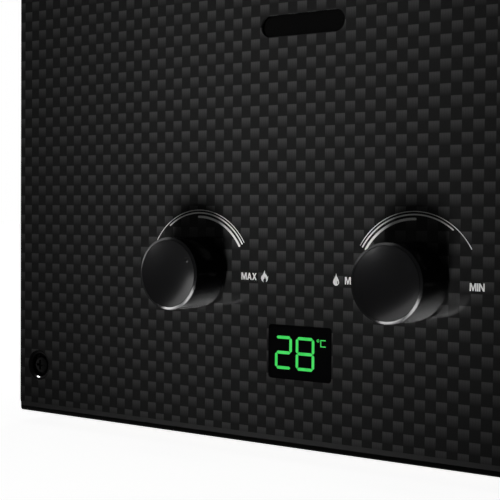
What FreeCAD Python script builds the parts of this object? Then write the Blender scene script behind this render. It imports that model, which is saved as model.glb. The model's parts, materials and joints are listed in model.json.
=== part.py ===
import FreeCAD, Part

import math
import os

# Portable propane water heater, carried by a folding handle and hung or stood while it runs.
# Millimetres. X runs to the right as the user sees the front, the front faces -Y, and Z is up.
# The origin is the centre of the footprint, at floor level.

V = FreeCAD.Vector

# Housing
BODY_W = 290.0
FRONT = -51.0
BACK = 70.0
COVER_BOTTOM = 5.0
COVER_TOP = 385.0
SHEET = 1.0
VENT_ROWS = 4
VENT_PITCH = 11.0
VENT_L = 36.0
VENT_H = 4.0
VENT_YS = (-14.0, 30.0)
VENT_LOW_Z = 80.0
VENT_HIGH_Z = 320.0
EDGE_R = 5.0
CORNER_R = 1.5
RIM = 10.0
HALF_W = BODY_W / 2
COVER_BACK = BACK - SHEET
PANEL_INSIDE = FRONT + SHEET
LINER_HALF = HALF_W - SHEET - 0.3

# Controls on the front
KNOB_X = 46.15
KNOB_Z = COVER_BOTTOM + 63.0
KNOB_R = 13.4
KNOB_FRONT = -70.0
KNOB_BACK = FRONT - 2.0
KNOB_WALL = 1.5
KNOB_DISH = 0.9
POINTER_R = 10.7
POINTER_ANGLE = 31.0
POINTER_HOLE_R = 1.5
POINTER_DEPTH = 0.5
SPINDLE_R = 3.0
RUNNING_GAP = 0.05
SPINDLE_FLAT = 2.0
PANEL_HOLE_R = 6.5

WINDOW_W = 27.1
WINDOW_H = 19.5
WINDOW_Z = COVER_BOTTOM + 35.1
WINDOW_GAP = 0.15
WINDOW_LIP = 3.0
WINDOW_BACK = PANEL_INSIDE + 1.2

SLOT_W = 36.0
SLOT_H = 7.9
SLOT_Z = COVER_BOTTOM + 153.9
GLASS_W = 46.0
GLASS_H = 17.0
GLASS_BACK = PANEL_INSIDE + 1.2

SCREW_X = HALF_W - 12.1
SCREW_LOW_Z = COVER_BOTTOM + 20.3
SCREW_HIGH_Z = COVER_TOP - 20.3
DIMPLE_R = 6.0
DIMPLE_FLOOR_R = 4.4
DIMPLE_DEPTH = 3.0
FLANGE_FRONT = FRONT + DIMPLE_DEPTH + SHEET

# Base
TRAY_Z = 21.0
TRAY_TOP = TRAY_Z + SHEET
RAIL_X = (114.0, 134.0)
RAIL_Y = (-38.0, 66.0)
FOOT_R = 8.0
FOOT_X = 124.0
FOOT_YS = (-12.0, 56.0)

# Pipe fittings, all on one line under the valves
FITTING_Y = -7.0
OUTLET_X = -96.0
GAS_X = -46.0
INLET_X = 46.0
DRAIN_X = 78.0
WATER_THREAD_R = 10.48
GAS_THREAD_R = 8.33
THREAD_LOW = 2.0
THREAD_HIGH = 16.0
RELIEF = 0.3
NUT_SPAN = (17.0, TRAY_Z)
SHOULDER_TOP = 30.0
THREAD_GAP = 0.12

# Valves
VALVE_Y = (-41.0, 12.0)
VALVE_Z = (50.0, 88.0)
VALVE_BOSS_FRONT = -46.0
VALVE_NEAR = 22.0
VALVE_FAR = 70.0
ROD_Y = FITTING_Y
ROD_Z = KNOB_Z
ROD_R = 2.5
ROD_TRAVEL = 3.0
COLLAR = (-14.0, -12.0)
PLATE_X = (11.0, 12.5)
DISC_R = 26.0
DISC_X = (4.0, 14.0)
LEVER_X = -14.8
LEVER_Z = 86.0

# Burner and heat exchanger
CHAMBER_X = 88.0
CHAMBER_Y = (-24.0, 50.0)
FRAME_Z = (126.0, 140.0)
CHAMBER_Z = (140.0, 268.0)
FIN_Z = (268.0, 304.0)
BLADE_COUNT = 8
BLADE_PITCH = 21.0
BLADE_Z = (105.0, 146.0)
MANIFOLD_Y = -35.0
MANIFOLD_Z = 115.0
MANIFOLD_R = 6.5
RISER_X = -34.0
FIN_COUNT = 16
FIN_THICK = 0.8
TUBE_YS = (33.0, 13.0, -7.0)
TUBE_Z = 286.0
TUBE_R = 7.0
PIPE_R = 5.5
COIL_X = 95.0
COIL_Y = (-31.0, 57.0)
COIL_Z = 214.0
HOT_X = -116.0
ELECTRODE_Z = 152.0
SPARK_X = 40.0
SENSOR_X = 54.0

# Top, rain cap and handle
TOP_PLATE_Z = COVER_TOP - 2 * SHEET
TOP_FACE = COVER_TOP - SHEET
FLUE_X = 76.0
FLUE_Y = (-20.0, 26.0)
CAP_X = 112.0
CAP_Y = (-30.0, 34.0)
CAP_SHOULDER = 402.0
CAP_TOP = 413.0
CAP_CORNER = 6.0
CAP_INSET = 10.0
LOUVRE_L = 34.0
LOUVRE_H = 4.0
LOUVRE_PITCH = 39.0
LOUVRE_ROWS = (388.0, 395.5)
LOUVRE_REACH = 3.0
CAP_TAB_X = 70.0
CAP_TAB_REACH = 10.0

PIVOT_Y = -22.0
PIVOT_Z = 395.0
HANDLE_REACH = 80.0
STRAP_X = (125.0, 127.5)
STRAP_H = 14.0
STRAP_BEND = 14.0
PIN_R = 3.0
EAR_X = (121.5, 124.5)
GRIP_HALF = 52.0
GRIP_DEPTH = 16.0
GRIP_HEIGHT = 18.0

# Battery case, for two large round cells end to end
BATTERY_X = 67.0
BATTERY_Y = (26.0, 67.0)
BATTERY_TOP = 62.0
CASE_WALL = 1.8
CELL_R = 16.6
CELL_L = 61.3
CELL_Y = 46.0
CELL_Z = 41.0
DOOR_X = 63.0
DOOR_Y = (28.5, 62.0)
DOOR_GAP = 0.5
HINGE_Y = 64.6
HINGE_Z = 18.6
HINGE_R = 2.6
HINGE_PIN_R = 1.5


def point(axis, a, b, along):
    """A point from its two coordinates in the plane square to an axis and its place along that axis."""
    if axis == "x":
        return V(along, a, b)
    if axis == "y":
        return V(a, along, b)
    return V(a, b, along)


def block(x, y, z):
    """A box from its low and high limits along each axis."""
    return Part.makeBox(x[1] - x[0], y[1] - y[0], z[1] - z[0], V(x[0], y[0], z[0]))


def rod(axis, centre, span, radius):
    """A round bar along an axis."""
    start = point(axis, centre[0], centre[1], span[0])
    end = point(axis, centre[0], centre[1], span[1])
    return Part.makeCylinder(radius, span[1] - span[0], start, end - start)


def cone(axis, centre, span, radii):
    """A round bar along an axis, tapering from one radius to the other."""
    start = point(axis, centre[0], centre[1], span[0])
    end = point(axis, centre[0], centre[1], span[1])
    return Part.makeCone(radii[0], radii[1], span[1] - span[0], start, end - start)


def prism(axis, corners, span):
    """A straight-sided outline pushed along an axis."""
    outline = [point(axis, a, b, span[0]) for a, b in corners]
    face = Part.Face(Part.makePolygon(outline + [outline[0]]))
    return face.extrude(point(axis, 0, 0, span[1] - span[0]))


def rounded_wire(axis, a, b, along, radius):
    """A rectangle with round corners, in the plane square to an axis."""
    edges = []
    diagonal = radius * (1 - math.sqrt(0.5))
    turns = ((a[0], b[0], 1, 1), (a[1], b[0], -1, 1), (a[1], b[1], -1, -1), (a[0], b[1], 1, -1))
    arcs = []
    for number, (ca, cb, sa, sb) in enumerate(turns):
        beside = point(axis, ca + sa * radius, cb, along)
        upright = point(axis, ca, cb + sb * radius, along)
        middle = point(axis, ca + sa * diagonal, cb + sb * diagonal, along)
        if number % 2 == 0:
            arcs.append((upright, middle, beside))
        else:
            arcs.append((beside, middle, upright))
    for number, (start, middle, end) in enumerate(arcs):
        following = arcs[(number + 1) % len(arcs)][0]
        edges.append(Part.Arc(start, middle, end).toShape())
        if (following - end).Length > 1e-6:
            edges.append(Part.makeLine(end, following))
    return Part.Wire(edges)


def rounded(axis, a, b, span, radius):
    """A bar of rounded rectangular section along an axis."""
    face = Part.Face(rounded_wire(axis, a, b, span[0], radius))
    return face.extrude(point(axis, 0, 0, span[1] - span[0]))


def slot(axis, centre, length, height, span):
    """A bar with fully round ends, long along the first direction of its plane."""
    a = (centre[0] - length / 2, centre[0] + length / 2)
    b = (centre[1] - height / 2, centre[1] + height / 2)
    return rounded(axis, a, b, span, height / 2 - 0.001)


def hexagon(centre, span, across):
    """An upright hexagonal bar of a given width across its flats."""
    radius = across / math.sqrt(3)
    corners = []
    for number in range(6):
        angle = math.radians(60 * number)
        corners.append((centre[0] + radius * math.cos(angle), centre[1] + radius * math.sin(angle)))
    return prism("z", corners, span)


def fused(shapes):
    """One solid from pieces that meet."""
    return shapes[0].fuse(shapes[1:]).removeSplitter()


def mirrored(shape):
    """The same piece on the other side of the centre plane."""
    return shape.mirror(V(0, 0, 0), V(1, 0, 0))


def pipe(points, radius, bend):
    """A bent tube through corner points: straight runs joined by tangent bends of one radius."""
    corners = [V(*corner) for corner in points]
    spans = []
    start = corners[0]
    for before, corner, after in zip(corners, corners[1:], corners[2:]):
        inward = (before - corner).normalize()
        outward = (after - corner).normalize()
        half_turn = (math.pi - inward.getAngle(outward)) / 2
        setback = bend * math.tan(half_turn)
        bisector = (inward + outward).normalize()
        centre = corner + bisector * (bend / math.cos(half_turn))
        arc_start = corner + inward * setback
        arc_end = corner + outward * setback
        if (arc_start - start).Length > 1e-6:
            spans.append(Part.makeCylinder(radius, (arc_start - start).Length, start, arc_start - start))
        section = Part.Face(Part.Wire(Part.makeCircle(radius, arc_start, inward)))
        spans.append(section.revolve(centre, inward.cross(outward) * -1, math.degrees(2 * half_turn)))
        start = arc_end
    if (corners[-1] - start).Length > 1e-6:
        spans.append(Part.makeCylinder(radius, (corners[-1] - start).Length, start, corners[-1] - start))
    return fused(spans)


def screw(seat, outward, head_r, head_h, shank_r, shank_length):
    """A cross-head screw with a sloped head, standing on a seat."""
    outline = [
        V(0, 0, -shank_length),
        V(shank_r, 0, -shank_length),
        V(shank_r, 0, 0),
        V(head_r, 0, 0),
        V(head_r, 0, 0.45 * head_h),
        V(0.7 * head_r, 0, head_h),
        V(0, 0, head_h),
    ]
    body = Part.Face(Part.makePolygon(outline + [outline[0]])).revolve(V(0, 0, 0), V(0, 0, 1), 360)
    reach = 0.55 * head_r
    half = 0.14 * head_r
    depth = (0.45 * head_h, head_h + 1)
    cross = block((-reach, reach), (-half, half), depth).fuse(block((-half, half), (-reach, reach), depth))
    body = body.cut(cross)
    body.Placement = FreeCAD.Placement(seat, FreeCAD.Rotation(V(0, 0, 1), outward))
    return body


def cover_block(inset):
    """The space inside the folded cover, drawn in from its outer skin by a distance."""
    y = FRONT + inset
    low = COVER_BOTTOM + inset
    high = COVER_TOP - inset
    bend = EDGE_R - inset
    middle = bend * (1 - math.sqrt(0.5))
    back = COVER_BACK + inset
    half = HALF_W - inset
    low_arc = Part.Arc(V(-half, y + bend, low), V(-half, y + middle, low + middle), V(-half, y, low + bend))
    high_arc = Part.Arc(V(-half, y, high - bend), V(-half, y + middle, high - middle), V(-half, y + bend, high))
    outline = Part.Wire([
        Part.makeLine(V(-half, back, low), V(-half, y + bend, low)),
        low_arc.toShape(),
        Part.makeLine(V(-half, y, low + bend), V(-half, y, high - bend)),
        high_arc.toShape(),
        Part.makeLine(V(-half, y + bend, high), V(-half, back, high)),
        Part.makeLine(V(-half, back, high), V(-half, back, low)),
    ])
    solid = Part.Face(outline).extrude(V(2 * half, 0, 0))
    sides = []
    for edge in solid.Edges:
        box = edge.BoundBox
        on_side = box.XLength < 1e-6
        at_back = box.YLength < 1e-6 and abs(box.YMin - back) < 1e-6
        if on_side and not at_back:
            sides.append(edge)
    return solid.makeFillet(CORNER_R - 1.2 * inset, sides)


def screw_places():
    """The four screws that hold the cover, as X and Z."""
    places = []
    for side in (-1, 1):
        for z in (SCREW_LOW_Z, SCREW_HIGH_Z):
            places.append((side * SCREW_X, z))
    return places


def dimple_rings(depth, grow):
    """A pressed dimple's outline, from the panel to its floor."""
    shapes = []
    for x, z in screw_places():
        span = (FRONT - 0.01, FRONT + depth)
        shapes.append(cone("y", (x, z), span, (DIMPLE_R + grow, DIMPLE_FLOOR_R + grow)))
    return shapes


def front_cover():
    """One folded sheet: the front, both sides and a narrow rim round the top and bottom."""
    shell = cover_block(0).cut(cover_block(SHEET))
    inside_x = (-HALF_W + RIM, HALF_W - RIM)
    inside_y = (FRONT + RIM, BACK + RIM)
    shell = shell.cut([
        block(inside_x, inside_y, (0, COVER_BOTTOM + 2 * SHEET)),
        block(inside_x, inside_y, (COVER_TOP - 2 * SHEET, COVER_TOP + SHEET)),
        block((-HALF_W, HALF_W), (COVER_BACK, BACK + RIM), (0, COVER_TOP + SHEET)),
    ])
    through = (FRONT - 1, PANEL_INSIDE + 1)
    shell = shell.fuse(dimple_rings(DIMPLE_DEPTH + SHEET, SHEET))
    openings = dimple_rings(DIMPLE_DEPTH, 0)
    openings += [rod("y", place, (FRONT, 0), 2.2) for place in screw_places()]
    openings += [rod("y", (side * KNOB_X, KNOB_Z), through, PANEL_HOLE_R) for side in (-1, 1)]
    half_w = WINDOW_W / 2 + WINDOW_GAP
    half_h = WINDOW_H / 2 + WINDOW_GAP
    openings.append(rounded("y", (-half_w, half_w), (WINDOW_Z - half_h, WINDOW_Z + half_h), through, 1.2))
    openings.append(slot("y", (0, SLOT_Z), SLOT_W, SLOT_H, through))
    openings += side_vents((-HALF_W - 1, -HALF_W + SHEET + 1))
    openings += side_vents((HALF_W - SHEET - 1, HALF_W + 1))
    for x, y, z in side_screw_places():
        openings.append(rod("x", (y, z), (min(x, 0), max(x, 0)), 1.7))
    return shell.cut(openings).removeSplitter()


def side_vents(span):
    """Rows of air slots in one side of the cover."""
    vents = []
    for row in range(VENT_ROWS):
        for z in (VENT_LOW_Z, VENT_HIGH_Z):
            for y in VENT_YS:
                vents.append(slot("x", (y, z + VENT_PITCH * row), VENT_L, VENT_H, span))
    return vents


def side_screw_places():
    """The screws through both sides of the cover into the back plate's folds."""
    places = []
    for side in (-1, 1):
        for z in (70.0, 200.0, 320.0):
            places.append((side * HALF_W, 62.5, z))
    return places


def back_plate():
    """The flat back, with folded sides, pressed ribs, air slots and a hanging strip."""
    plate = block((-HALF_W, HALF_W), (COVER_BACK, BACK), (COVER_BOTTOM, COVER_TOP))
    strip = rounded("y", (-90, 90), (COVER_TOP - 20, 403), (COVER_BACK, BACK), 7)
    fold_z = (TRAY_TOP + 14, TOP_PLATE_Z - 14)
    fold_y = (56, COVER_BACK)
    folds = [
        block((-LINER_HALF, -LINER_HALF + SHEET), fold_y, fold_z),
        block((LINER_HALF - SHEET, LINER_HALF), fold_y, fold_z),
    ]
    ribs = []
    hollows = []
    for x in (-60, 60):
        outer = rounded("y", (x - 7, x + 7), (110, 330), (COVER_BACK - 2.5, COVER_BACK), 6)
        ribs.append(outer)
        hollows.append(rounded("y", (x - 6, x + 6), (111, 329), (COVER_BACK - 1.5, BACK + 1), 5))
    plate = fused([plate, strip] + folds + ribs)
    holes = [rod("y", (side * 70, 394), (COVER_BACK - 1, BACK + 1), 2.75) for side in (-1, 1)]
    for row in range(VENT_ROWS):
        for x in (-22, 22):
            centre = (x, VENT_LOW_Z + 35 + VENT_PITCH * row)
            holes.append(slot("y", centre, VENT_L, VENT_H, (COVER_BACK - 1, BACK + 1)))
    for x, y, z in side_screw_places():
        inner = math.copysign(LINER_HALF - SHEET - 1, x)
        holes.append(rod("x", (y, z), (min(x, inner), max(x, inner)), 1.6))
    return plate.cut(hollows + holes)


def top_plate():
    """The lid under the rain cap, with the flue opening and folds on all four sides."""
    back = COVER_BACK
    x = (-LINER_HALF, LINER_HALF)
    sheet = block(x, (FLANGE_FRONT + SHEET, back), (TOP_PLATE_Z, TOP_FACE))
    skirt = (TOP_PLATE_Z - 12, TOP_PLATE_Z)
    folds = [
        block(x, (FLANGE_FRONT, FLANGE_FRONT + SHEET), (TOP_PLATE_Z - 28, TOP_PLATE_Z + 0.5)),
        block(x, (back - SHEET, back), skirt),
        block((-LINER_HALF, -LINER_HALF + SHEET), (FLANGE_FRONT, back), skirt),
        block((LINER_HALF - SHEET, LINER_HALF), (FLANGE_FRONT, back), skirt),
    ]
    plate = fused([sheet] + folds)
    holes = [block((1 - FLUE_X, FLUE_X - 1), (FLUE_Y[0] + 1, FLUE_Y[1] - 1), (TOP_PLATE_Z - 1, TOP_FACE + 1))]
    for x, y in cap_screw_places():
        holes.append(rod("z", (x, y), (TOP_PLATE_Z - 1, TOP_FACE + 1), 1.6))
    for side in (-1, 1):
        holes.append(rod("y", (side * SCREW_X, SCREW_HIGH_Z), (FLANGE_FRONT - 1, FLANGE_FRONT + 2), 2.1))
    return plate.cut(holes)


def bottom_tray():
    """The floor of the case, set up inside the cover so that the pipe fittings hang in a bay below it."""
    back = COVER_BACK
    fold = (TRAY_TOP, TRAY_TOP + 12)
    sheet = block((-LINER_HALF, LINER_HALF), (FLANGE_FRONT, back), (TRAY_Z, TRAY_TOP))
    folds = [
        block((-LINER_HALF, -LINER_HALF + SHEET), (FLANGE_FRONT, back), fold),
        block((LINER_HALF - SHEET, LINER_HALF), (FLANGE_FRONT, back), fold),
        block((-LINER_HALF, LINER_HALF), (back - SHEET, back), fold),
        block((-LINER_HALF, -118), (FLANGE_FRONT, FLANGE_FRONT + SHEET), fold),
        block((118, LINER_HALF), (FLANGE_FRONT, FLANGE_FRONT + SHEET), fold),
    ]
    tray = fused([sheet] + folds)
    through = (TRAY_Z - 1, TRAY_TOP + 1)
    holes = [
        rod("z", (OUTLET_X, FITTING_Y), through, WATER_THREAD_R + THREAD_GAP),
        rod("z", (INLET_X, FITTING_Y), through, WATER_THREAD_R + THREAD_GAP),
        rod("z", (GAS_X, FITTING_Y), through, GAS_THREAD_R + THREAD_GAP),
        rod("z", (DRAIN_X, FITTING_Y), through, 6.3),
        block((-DOOR_X - DOOR_GAP, DOOR_X + DOOR_GAP), (DOOR_Y[0] - DOOR_GAP, HINGE_Y + 3.2), through),
    ]
    for side in (-1, 1):
        holes.append(rod("y", (side * SCREW_X, SCREW_LOW_Z), (FLANGE_FRONT - 1, FLANGE_FRONT + 2), 2.1))
        for row in range(3):
            holes.append(slot("z", (side * 18, -32 + 8 * row), 28, 4, through))
    return tray.cut(holes)


def base_rail():
    """A channel under the tray that carries two feet."""
    outer = block(RAIL_X, RAIL_Y, (COVER_BOTTOM, TRAY_Z))
    groove = block(
        (RAIL_X[0] + SHEET, RAIL_X[1] - SHEET),
        (RAIL_Y[0] - 1, RAIL_Y[1] + 1),
        (COVER_BOTTOM + SHEET, TRAY_Z + 1),
    )
    return outer.cut(groove)


def rubber_feet():
    """Four tapered feet."""
    feet = []
    for x in (-FOOT_X, FOOT_X):
        for y in FOOT_YS:
            feet.append(cone("z", (x, y), (0, COVER_BOTTOM), (FOOT_R - 1, FOOT_R)))
    return feet


def cap_block(inset):
    """The rain cap's outline, drawn in from its skin: an upright skirt under a sloped crown."""
    x = (-CAP_X + inset, CAP_X - inset)
    y = (CAP_Y[0] + inset, CAP_Y[1] - inset)
    radius = CAP_CORNER - inset
    skirt = rounded("z", x, y, (TOP_FACE - (inset > 0), CAP_SHOULDER), radius)
    low = rounded_wire("z", x, y, CAP_SHOULDER, radius)
    crown_x = (x[0] + CAP_INSET, x[1] - CAP_INSET)
    crown_y = (y[0] + CAP_INSET, y[1] - CAP_INSET)
    high = rounded_wire("z", crown_x, crown_y, CAP_TOP - inset, radius)
    return skirt.fuse(Part.makeLoft([low, high], True, True))


def louvre(facing, wall, centre, z):
    """One pressed louvre: the slot through the wall and the hood over it."""
    top = z + LOUVRE_H
    out = math.copysign(LOUVRE_REACH, facing)
    deep = math.copysign(SHEET, facing)
    profile = [
        (wall - deep, top + 1.2),
        (wall, top + 1.2),
        (wall + out, z + 1.0),
        (wall + out - deep, z + 0.6),
        (wall - deep, top),
    ]
    return profile, (centre - LOUVRE_L / 2, centre + LOUVRE_L / 2)


def rain_cap():
    """The louvred hood that keeps rain out of the flue."""
    shell = cap_block(0).cut(cap_block(SHEET))
    hoods = []
    slots = []
    for z in LOUVRE_ROWS:
        for column in range(-2, 3):
            for facing, wall in ((-1, CAP_Y[0]), (1, CAP_Y[1])):
                profile, span = louvre(facing, wall, LOUVRE_PITCH * column, z)
                hoods.append(prism("x", profile, span))
                inner = (wall - 2, wall + 2)
                slots.append(block(span, inner, (z, z + LOUVRE_H)))
        for facing, wall in ((-1, -CAP_X), (1, CAP_X)):
            profile, span = louvre(facing * 0.6, wall, (CAP_Y[0] + CAP_Y[1]) / 2, z)
            profile = [(wall + (a - wall) * 0.6, b) if abs(a) > CAP_X else (a, b) for a, b in profile]
            hoods.append(prism("y", profile, span))
            slots.append(block((wall - 2, wall + 2), span, (z, z + LOUVRE_H)))
    tabs = []
    holes = []
    for x, y in cap_screw_places():
        wall = CAP_Y[0] if y < 0 else CAP_Y[1]
        reach = math.copysign(CAP_TAB_REACH, y)
        tab_y = (min(wall - reach * 0.1, wall + reach), max(wall - reach * 0.1, wall + reach))
        tabs.append(block((x - 9, x + 9), tab_y, (TOP_FACE, COVER_TOP)))
        holes.append(rod("z", (x, y), (TOP_FACE - 1, COVER_TOP + 1), 1.7))
    shell = shell.cut(slots)
    return shell.fuse(hoods + tabs).cut(holes).removeSplitter()


def cap_screw_places():
    """The rain cap's four screws, as X and Y."""
    places = []
    for x in (-CAP_TAB_X, CAP_TAB_X):
        places.append((x, CAP_Y[0] - 5.5))
        places.append((x, CAP_Y[1] + 5.5))
    return places


def handle_bracket():
    """A bent plate on the lid whose ear carries the handle's pivot."""
    y = (PIVOT_Y - 10, PIVOT_Y + 10)
    foot = block((CAP_X + 2, EAR_X[1]), y, (TOP_FACE, TOP_FACE + 2))
    ear = block(EAR_X, y, (TOP_FACE, PIVOT_Z))
    crown = rod("x", (PIVOT_Y, PIVOT_Z), EAR_X, 10)
    plate = fused([foot, ear, crown])
    below = block(EAR_X, (PIVOT_Y - 11, PIVOT_Y + 11), (TOP_FACE - 11, TOP_FACE))
    return plate.cut([below, rod("x", (PIVOT_Y, PIVOT_Z), (EAR_X[0] - 1, EAR_X[1] + 1), PIN_R)])


def handle_pins():
    """The two headed pins that the handle turns on."""
    shank = rod("x", (PIVOT_Y, PIVOT_Z), (EAR_X[0], STRAP_X[1] + 0.4), PIN_R)
    head = cone("x", (PIVOT_Y, PIVOT_Z), (STRAP_X[1] + 0.4, STRAP_X[1] + 2.4), (6, 4.5))
    inner = rod("x", (PIVOT_Y, PIVOT_Z), (EAR_X[0] - 1.5, EAR_X[0]), 4.5)
    pin = fused([shank, head, inner])
    return [pin, mirrored(pin)]


def handle_bar():
    """A flat steel strap bent to a U, standing on its edge while the handle is folded."""
    low = PIVOT_Z - STRAP_H / 2
    high = PIVOT_Z + STRAP_H / 2
    thick = STRAP_X[1] - STRAP_X[0]
    far = PIVOT_Y + HANDLE_REACH + thick / 2
    near = PIVOT_Y - STRAP_H
    outer = rounded("z", (-STRAP_X[1], STRAP_X[1]), (near - 30, far), (low, high), STRAP_BEND)
    inner = rounded("z", (-STRAP_X[0], STRAP_X[0]), (near - 40, far - thick), (low, high), STRAP_BEND - thick)
    strap = outer.cut(inner)
    keep = rod("x", (PIVOT_Y, PIVOT_Z), (-HALF_W, HALF_W), STRAP_H / 2)
    keep = keep.fuse(block((-HALF_W, HALF_W), (PIVOT_Y, BACK), (low, high)))
    strap = strap.common(keep)
    return strap.cut(rod("x", (PIVOT_Y, PIVOT_Z), (-HALF_W, HALF_W), PIN_R + RUNNING_GAP)).removeSplitter()


def handle_grip():
    """A moulded sleeve on the strap, with a hollow for each finger and a collar at each end."""
    y = PIVOT_Y + HANDLE_REACH
    half_y = GRIP_DEPTH / 2
    half_z = GRIP_HEIGHT / 2
    body = rounded("x", (y - half_y, y + half_y), (PIVOT_Z - half_z, PIVOT_Z + half_z), (-GRIP_HALF, GRIP_HALF), 6)
    hollows = []
    for number in range(4):
        hollow = rod("z", ((number - 1.5) * 24, y - half_y - 19.5), (PIVOT_Z - 20, PIVOT_Z + 20), 21.5)
        hollows.append(hollow)
    thick = (STRAP_X[1] - STRAP_X[0]) / 2
    bore_z = (PIVOT_Z - STRAP_H / 2, PIVOT_Z + STRAP_H / 2)
    hollows.append(block((-GRIP_HALF - 1, GRIP_HALF + 1), (y - thick, y + thick), bore_z))
    return body.cut(hollows)


def display_window():
    """The clear pane of the display, flush with the panel and held by a lip behind it."""
    half_w = WINDOW_W / 2
    half_h = WINDOW_H / 2
    pane = rounded("y", (-half_w, half_w), (WINDOW_Z - half_h, WINDOW_Z + half_h), (FRONT, PANEL_INSIDE), 1.05)
    lip_w = half_w + WINDOW_LIP
    lip_h = half_h + WINDOW_LIP
    lip = rounded("y", (-lip_w, lip_w), (WINDOW_Z - lip_h, WINDOW_Z + lip_h), (PANEL_INSIDE, WINDOW_BACK), 1.5)
    return fused([pane, lip])


def display_module():
    """The block of lit digits behind the pane."""
    half_w = WINDOW_W / 2 - 0.6
    half_h = WINDOW_H / 2 - 0.6
    return block((-half_w, half_w), (WINDOW_BACK, -41.5), (WINDOW_Z - half_h, WINDOW_Z + half_h))


def display_bracket():
    """The frame that holds the pane and carries the circuit board."""
    outer = rounded("y", (-22, 22), (WINDOW_Z - 15, WINDOW_Z + 15), (PANEL_INSIDE, -41.5), 2)
    half_w = WINDOW_W / 2 + WINDOW_LIP + 0.1
    half_h = WINDOW_H / 2 + WINDOW_LIP + 0.1
    inner = block((-half_w, half_w), (PANEL_INSIDE - 1, -40), (WINDOW_Z - half_h, WINDOW_Z + half_h))
    return outer.cut(inner)


def display_board():
    """The circuit board behind the display."""
    board = block((-21.5, 21.5), (-41.5, -39.9), (WINDOW_Z - 15, WINDOW_Z + 15))
    holes = []
    for x in (-19, 19):
        for z in (-12.5, 12.5):
            holes.append(rod("y", (x, WINDOW_Z + z), (-43, -38), 1.3))
    return board.cut(holes)


def sight_glass():
    """The pane behind the sight slot."""
    return block((-GLASS_W / 2, GLASS_W / 2), (PANEL_INSIDE, GLASS_BACK), (SLOT_Z - GLASS_H / 2, SLOT_Z + GLASS_H / 2))


def sight_frame():
    """The frame that clamps the sight glass to the panel."""
    outer = rounded("y", (-27, 27), (SLOT_Z - 12.5, SLOT_Z + 12.5), (PANEL_INSIDE, GLASS_BACK + 2), 3)
    pocket_w = GLASS_W / 2
    pocket_h = GLASS_H / 2
    pocket = block((-pocket_w, pocket_w), (PANEL_INSIDE - 1, GLASS_BACK), (SLOT_Z - pocket_h, SLOT_Z + pocket_h))
    return outer.cut([pocket, slot("y", (0, SLOT_Z), 40, 11, (GLASS_BACK - 1, GLASS_BACK + 3))])


def knob(x):
    """A moulded knob: dished face, thin skirt, ribbed hub with a flat-sided bore, and a pointer dimple."""
    roof = KNOB_FRONT + 3.5
    hub_end = KNOB_BACK - 1.0
    face_r = KNOB_R - 0.9
    flat_r = KNOB_R - 0.5
    centre_y = KNOB_FRONT + KNOB_DISH
    dish = Part.Arc(V(0, centre_y, 0), V(face_r / 2, KNOB_FRONT + KNOB_DISH * 0.75, 0), V(face_r, KNOB_FRONT, 0))
    edge = 0.5 * math.sqrt(0.5)
    bevel = Part.Arc(
        V(flat_r, KNOB_FRONT, 0),
        V(flat_r + edge, KNOB_FRONT + 0.5 - edge, 0),
        V(KNOB_R, KNOB_FRONT + 0.5, 0),
    )
    corners = [
        (KNOB_R, KNOB_FRONT + 0.5),
        (KNOB_R, KNOB_BACK),
        (KNOB_R - KNOB_WALL, KNOB_BACK),
        (KNOB_R - KNOB_WALL, roof),
        (5.0, roof),
        (5.0, hub_end),
        (0, hub_end),
        (0, centre_y),
    ]
    edges = [dish.toShape(), Part.makeLine(V(face_r, KNOB_FRONT, 0), V(flat_r, KNOB_FRONT, 0)), bevel.toShape()]
    for (r0, y0), (r1, y1) in zip(corners, corners[1:]):
        edges.append(Part.makeLine(V(r0, y0, 0), V(r1, y1, 0)))
    body = Part.Face(Part.Wire(edges)).revolve(V(0, 0, 0), V(0, 1, 0), 360)
    rib_y = (roof - 0.5, KNOB_BACK - 3)
    reach = KNOB_R - KNOB_WALL / 2
    ribs = [
        block((-reach, reach), rib_y, (-0.6, 0.6)),
        block((-0.6, 0.6), rib_y, (-reach, reach)),
    ]
    bore = rod("y", (0, 0), (KNOB_FRONT + 4.5, hub_end + 1), SPINDLE_R + 0.02)
    flat = block((-4, 4), (KNOB_FRONT + 4.4, hub_end + 1.1), (SPINDLE_FLAT + 0.02, 4))
    angle = math.radians(POINTER_ANGLE)
    ball_r = (POINTER_HOLE_R ** 2 + POINTER_DEPTH ** 2) / (2 * POINTER_DEPTH)
    face_y = KNOB_FRONT + KNOB_DISH * (1 - (POINTER_R / face_r) ** 2)
    ball_centre = V(POINTER_R * math.cos(angle), face_y + POINTER_DEPTH - ball_r, POINTER_R * math.sin(angle))
    pointer = Part.makeSphere(ball_r, ball_centre)
    body = body.fuse(ribs).cut([bore.cut(flat), pointer]).removeSplitter()
    body.translate(V(x, 0, KNOB_Z))
    return body


def spindle(x):
    """A valve spindle, flat-sided where it enters the knob, with a collar inside the valve's boss."""
    end = -20.0
    tip = KNOB_FRONT + 4.7
    shaft = rod("y", (0, 0), (tip, end), SPINDLE_R)
    flat = block((-4, 4), (tip - 1, KNOB_BACK + 1), (SPINDLE_FLAT, 4))
    shaft = shaft.cut(flat)
    shaft.translate(V(x, 0, KNOB_Z))
    return shaft


def valve_casting(side):
    """The part that the two valves share: a rounded body, a spindle boss and a neck to the fitting below."""
    x = (VALVE_NEAR, VALVE_FAR)
    body = rounded("y", x, VALVE_Z, VALVE_Y, 5)
    boss = rod("y", (KNOB_X, KNOB_Z), (VALVE_BOSS_FRONT, VALVE_Y[0]), 9)
    collar = rod("y", (KNOB_X, KNOB_Z), (VALVE_Y[0] - 2, VALVE_Y[0]), 13)
    neck = rod("z", (INLET_X, FITTING_Y), (SHOULDER_TOP, VALVE_Z[0] + 1), 12)
    casting = fused([body, boss, collar, neck])
    if side < 0:
        casting = mirrored(casting)
    bore = rod("y", (side * KNOB_X, KNOB_Z), (VALVE_BOSS_FRONT - 1, -19.5), SPINDLE_R + RUNNING_GAP)
    return casting, bore


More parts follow.
